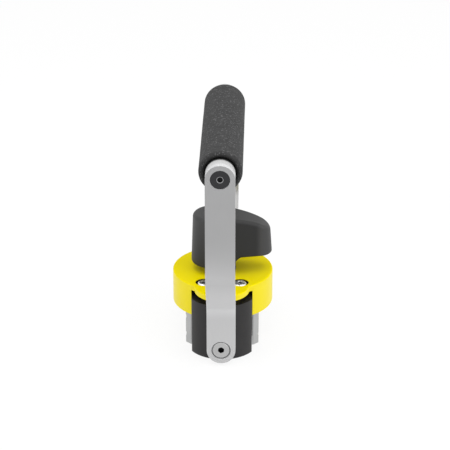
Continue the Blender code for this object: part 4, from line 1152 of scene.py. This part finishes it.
class LIFTER_OT_arms(Operator):
    """Make the two bent bars of the handle"""
    bl_idname = "lifter.arms"
    bl_label = "Arms"

    def execute(self, context):
        sizes = context.scene.lifter_handle
        width = ARM_HIGH.x - ARM_LOW.x
        near = -ARM_HIGH.y + sizes.thickness / 2
        far = -ARM_LOW.y - sizes.thickness / 2
        finish = satin_bar(context.scene.lifter_finishes)
        path = bmesh.new()
        corners = [(ARM_LOW.z - PAST, near), (PIVOT_HEIGHT + sizes.bend_low, near),
                   (PIVOT_HEIGHT + sizes.bend_high, far), (ARM_HIGH.z + PAST, far)]
        points = [path.verts.new((height, distance, 0)) for height, distance in corners]
        for pair in zip(points, points[1:]):
            path.edges.new(pair)
        bar = grown("bar", path, bar_tree(), {
            "Width": width, "Thickness": sizes.thickness, "Bend Radius": sizes.bend_radius,
            "Bend Steps": HALF_ROUND // 2, "Finish": finish})
        stand = Matrix(((0, 0, 1, 0), (0, -1, 0, 0), (1, 0, 0, 0), (0, 0, 0, 1)))
        bar.data.transform(stand)
        blank = bmesh.new()
        blank.from_mesh(bar.data)
        bpy.data.objects.remove(bar)
        bmesh.ops.remove_doubles(blank, verts=blank.verts, dist=SEAM)
        bmesh.ops.recalc_face_normals(blank, faces=blank.faces)
        front = shape("front_arm_bar", blank, self.holes(), keeps=[self.silhouette(width)], edge=sizes.edge)
        # Marks the bar's edge faces, which the finish paints paler as a painted highlight
        marks(front, "edge", lambda face: 1.0 if abs(face.normal.y) < EDGE_LEAN else 0.0, "FACE")
        placed_pair(front, "rear_arm_bar", finish, "brushed_aluminium", "handle", "front_arm", "rear_arm")
        return {"FINISHED"}

    def silhouette(self, width):
        """The arm seen along Y, round at both ends."""
        half = width / 2
        outline = arc((0, ARM_LOW.z + half), half, -pi, 0, HALF_ROUND)
        outline += arc((0, ARM_HIGH.z - half), half, 0, pi, HALF_ROUND)
        return laid(prism(outline, -ARM_HIGH.y - PAST, -ARM_LOW.y + PAST), "X")

    def holes(self):
        """The sunk hole at the pivot and the countersunk hole at the grip."""
        bush = (BUSH_HIGH.z - BUSH_LOW.z) / 2 + GAP
        outside = -BOLT_LOW.y + GAP + PAST
        pivot = stepped(bush, BOLT_RADIUS + HEAD_GAP, -ARM_HIGH.y - PAST, -BUSH_LOW.y, outside)
        face = -GRIP_SCREW_LOW.y + GAP
        back = face - SINK_DEPTH
        radius = GRIP_SCREW_RADIUS
        rim = face - 1.5 * GAP - RIM_SHARE * radius
        shank = radius / 2
        sink = turned([
            (0, back), (shank + GAP, back), (shank + GAP, rim - radius + shank),
            (radius + GAP, rim), (radius + GAP, face + PAST), (0, face + PAST),
        ])
        return [moved(laid(pivot, "X"), z=PIVOT_HEIGHT), moved(laid(sink, "X"), z=GRIP_HEIGHT)]


class LIFTER_OT_foam(Operator):
    """Make the foam grip"""
    bl_idname = "lifter.foam"
    bl_label = "Foam grip"

    def execute(self, context):
        sizes = context.scene.lifter_handle
        finish = grip_foam(context.scene.lifter_finishes)
        foam = grown("foam_sleeve", bmesh.new(), foam_tree(), {
            "Bore": sizes.foam_inner, "Radius": FOAM_HIGH.x + sizes.foam_swell,
            "Length": FOAM_HIGH.y - FOAM_LOW.y, "End Radius": sizes.foam_fillet, "Step": FOAM_STEP,
            "Round Steps": ROUND, "Skin": sizes.foam_skin, "Cells": sizes.foam_cell,
            "Seed": float(sizes.foam_seed), "Finish": finish})
        on_grip_axis(foam)
        foam.data.shade_smooth()
        placed(foam, finish, "black_foam", "handle", "foam_grip")
        return {"FINISHED"}


class LIFTER_OT_bar(Operator):
    """Make the round bar that carries the foam and shows at both of its ends"""
    bl_idname = "lifter.bar"
    bl_label = "Grip bar"

    def execute(self, context):
        half = BAR_HIGH.y
        hole = GRIP_SCREW_RADIUS / 2 + GAP
        depth = -GRIP_SCREW_HIGH.y - GAP
        cuts = [cylinder(hole, depth, half + PAST), cylinder(hole, -half - PAST, -depth)]
        bar = shape("grip_bar_aluminium", cylinder(BAR_HIGH.x, -half, half, ROUND), cuts, edge=0.0006)
        on_grip_axis(bar)
        placed(bar, turned_bar(context.scene.lifter_finishes), "bare_aluminium", "handle", "grip_bar")
        return {"FINISHED"}


class LIFTER_OT_screws(Operator):
    """Make the screws of the cover, the side walls, the pivots and the grip"""
    bl_idname = "lifter.screws"
    bl_label = "Screws"

    def execute(self, context):
        sizes = context.scene.lifter_screws
        colours = context.scene.lifter_finishes
        zinc = turned_metal("zinc", colours.zinc, 0.26)
        black = turned_metal("black screw", colours.black_screw, 0.36, 0.6, WORN_RING)
        satin = turned_metal("satin bolt", colours.bolt, 0.34)
        cover_spots = []
        for node in COVER_SCREWS:
            middle = middle_of(node)
            cover_spots.append(((middle.x, middle.y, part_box(node)[1].z), (0, 0, 1)))
        wall_reach = WALL_SCREW_HIGH.x - WALL_SCREW_LOW.x
        small = countersunk("wall_screw", WALL_SCREW_RADIUS, 0.002, wall_reach, sizes.small_hexagon)
        grip_reach = GRIP_SCREW_HIGH.y - GRIP_SCREW_LOW.y
        large = countersunk("grip_screw", GRIP_SCREW_RADIUS, 0.004, grip_reach, sizes.grip_hexagon)
        tree = screw_tree()
        pivots = end_spots(BOLT_LOW.y, PIVOT_HEIGHT)
        grips = end_spots(GRIP_SCREW_LOW.y, GRIP_HEIGHT)
        for name, pattern, spots, material, slot, body, nodes in (
                ("cover_screws", pan_head(sizes), cover_spots, zinc, "zinc_steel", "base", COVER_SCREWS),
                ("side_wall_screws", small, wall_screw_spots(1, -1), zinc, "zinc_steel", "base", WALL_SCREWS),
                ("pivot_bolts", shoulder_bolt(sizes.hexagon), pivots, satin, "zinc_steel", "base",
                 ("front_pivot_bolt", "rear_pivot_bolt")),
                ("grip_screws", large, grips, black, "black_screw", "handle",
                 ("front_grip_screw", "rear_grip_screw"))):
            screws(name, tree, pattern, spots, material, sizes.seed, slot, body, *nodes)
        return {"FINISHED"}


class LIFTER_OT_inner_parts(Operator):
    """Dress the CAD pieces that stay: magnets, carrier, shaft, bushes, seal and spacers"""
    bl_idname = "lifter.inner_parts"
    bl_label = "Inner parts"

    def execute(self, context):
        colours = context.scene.lifter_finishes
        dressed = (
            (plain_metal("inner aluminium", colours.aluminium, 0.36), "base_plate magnet_carrier"),
            (plain_metal("inner steel", colours.zinc, 0.28),
             "drive_shaft drive_dowel_1 drive_dowel_2 stop_pin front_pivot_spacer rear_pivot_spacer"),
            (plain_metal("nickel", (0.60, 0.58, 0.54), 0.20), "fixed_magnet turning_magnet"),
            (plain_metal("bronze", (0.55, 0.36, 0.17), 0.34),
             "shaft_bush thrust_washer front_pivot_bush rear_pivot_bush"),
            (moulded("seal rubber", (0.014, 0.014, 0.015), 0.7), "shaft_seal"),
            (moulded("slide plastic", (0.80, 0.80, 0.76), 0.45), "slide_disc"),
        )
        for material, nodes in dressed:
            for node in nodes.split():
                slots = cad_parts[node].data.materials
                slots.clear()
                slots.append(material)
        return {"FINISHED"}


class LIFTER_OT_stage(Operator):
    """Make the floor, the lights and the camera"""
    bl_idname = "lifter.stage"
    bl_label = "Stage"

    def execute(self, context):
        stage = context.scene.lifter_stage
        self.floor(stage)
        self.sky(context, stage)
        for name, place, size in LAMPS:
            self.lamp(name, place, size, getattr(stage, name + "_power"))
        lens = bpy.data.cameras.new("camera")
        lens.lens = stage.lens
        lens.sensor_width = 36.0
        lens.clip_start = 0.05
        lens.clip_end = 50.0
        camera = bpy.data.objects.new("camera", lens)
        camera.location = stage.camera_place
        camera.rotation_euler = (pi / 2 - stage.camera_pitch, 0, stage.camera_yaw)
        context.scene.collection.objects.link(camera)
        context.scene.camera = camera
        context.scene.view_settings.view_transform = "Standard"
        return {"FINISHED"}

    def floor(self, stage):
        """A wide pale floor that shows white but keeps the object's shadow, and can't be seen from below."""
        half = FLOOR_HALF
        bm = bmesh.new()
        corners = [(half, half), (-half, half), (-half, -half), (half, -half)]
        bm.faces.new([bm.verts.new((x, y, -FLOOR_GAP)) for x, y in corners])
        ground = new_object("floor", bm)
        made = Finish("floor", (0.86, 0.86, 0.86), 0.9)
        made.feed("Specular IOR Level", 0.0)
        glow = made.node("ShaderNodeEmission", {}, {"Color": (1, 1, 1), "Strength": GLOW_STRENGTH})
        lit = Value(made.tree, made.shader.outputs["BSDF"])
        lifted = self.seen(made.tree) * stage.floor_glow
        shown = made.node("ShaderNodeMixShader", {}, {0: lifted, 1: lit, 2: glow})
        clear = made.node("ShaderNodeBsdfTransparent", {}, {})
        below = made.node("ShaderNodeNewGeometry", {}, {}, "Backfacing")
        surface = made.node("ShaderNodeMixShader", {}, {0: below, 1: shown, 2: clear})
        fill(made.tree, made.tree.nodes["Material Output"].inputs["Surface"], surface)
        ground.data.materials.append(made.material)

    def seen(self, tree):
        """1 where the camera sees a surface, itself or in a reflection, and 0 where it only lights."""
        rays = tree.nodes.new("ShaderNodeLightPath")
        seen = Value(tree, rays.outputs["Is Camera Ray"])
        for name in ("Is Glossy Ray", "Is Transmission Ray"):
            seen = seen.maths("MAXIMUM", seen, Value(tree, rays.outputs[name]))
        return seen

    def sky(self, context, stage):
        """White where the camera sees it, and a softer even light elsewhere."""
        world = bpy.data.worlds.new("sky")
        world.use_nodes = True
        tree = world.node_tree
        shade = tree.nodes["Background"]
        shade.inputs["Color"].default_value = (1, 1, 1, 1)
        fill(tree, shade.inputs["Strength"], stage.sky + self.seen(tree) * (1 - stage.sky))
        context.scene.world = world

    def lamp(self, name, place, size, power):
        light = bpy.data.lights.new(name, "AREA")
        light.size = size
        light.energy = power
        lamp = bpy.data.objects.new(name, light)
        lamp.location = place
        lamp.rotation_euler = (Vector((0, 0, 0.1)) - Vector(place)).to_track_quat("-Z", "Y").to_euler()
        bpy.context.scene.collection.objects.link(lamp)


class LIFTER_PT_panel(Panel):
    """The lifter's sizes, finishes and steps"""
    bl_idname = "LIFTER_PT_panel"
    bl_label = "Magnetic hand lifter"
    bl_space_type = "VIEW_3D"
    bl_region_type = "UI"
    bl_category = "Lifter"

    def draw(self, context):
        for group in GROUPS:
            settings = getattr(context.scene, group)
            box = self.layout.box()
            box.label(text=group.replace("lifter_", "").capitalize())
            for name in settings.__annotations__:
                box.prop(settings, name)
        for step in STEPS:
            self.layout.operator(step.bl_idname)


GROUPS = {
    "lifter_housing": HousingSizes,
    "lifter_cover": CoverSizes,
    "lifter_knob": KnobSizes,
    "lifter_handle": HandleSizes,
    "lifter_screws": ScrewSizes,
    "lifter_finishes": Finishes,
    "lifter_stage": StageSettings,
}
STEPS = (
    LIFTER_OT_stage,
    LIFTER_OT_pole_shoes,
    LIFTER_OT_side_walls,
    LIFTER_OT_cover,
    LIFTER_OT_knob,
    LIFTER_OT_arms,
    LIFTER_OT_bar,
    LIFTER_OT_foam,
    LIFTER_OT_screws,
    LIFTER_OT_inner_parts,
)


def register():
    for name, group in GROUPS.items():
        bpy.utils.register_class(group)
        setattr(bpy.types.Scene, name, PointerProperty(type=group))
    for step in STEPS:
        bpy.utils.register_class(step)
    bpy.utils.register_class(LIFTER_PT_panel)


def unregister():
    bpy.utils.unregister_class(LIFTER_PT_panel)
    for step in reversed(STEPS):
        bpy.utils.unregister_class(step)
    for name, group in reversed(GROUPS.items()):
        delattr(bpy.types.Scene, name)
        bpy.utils.unregister_class(group)


def main():
    register()
    for step in STEPS:
        family, name = step.bl_idname.split(".")
        getattr(getattr(bpy.ops, family), name)()


if __name__ == "__main__":
    main()
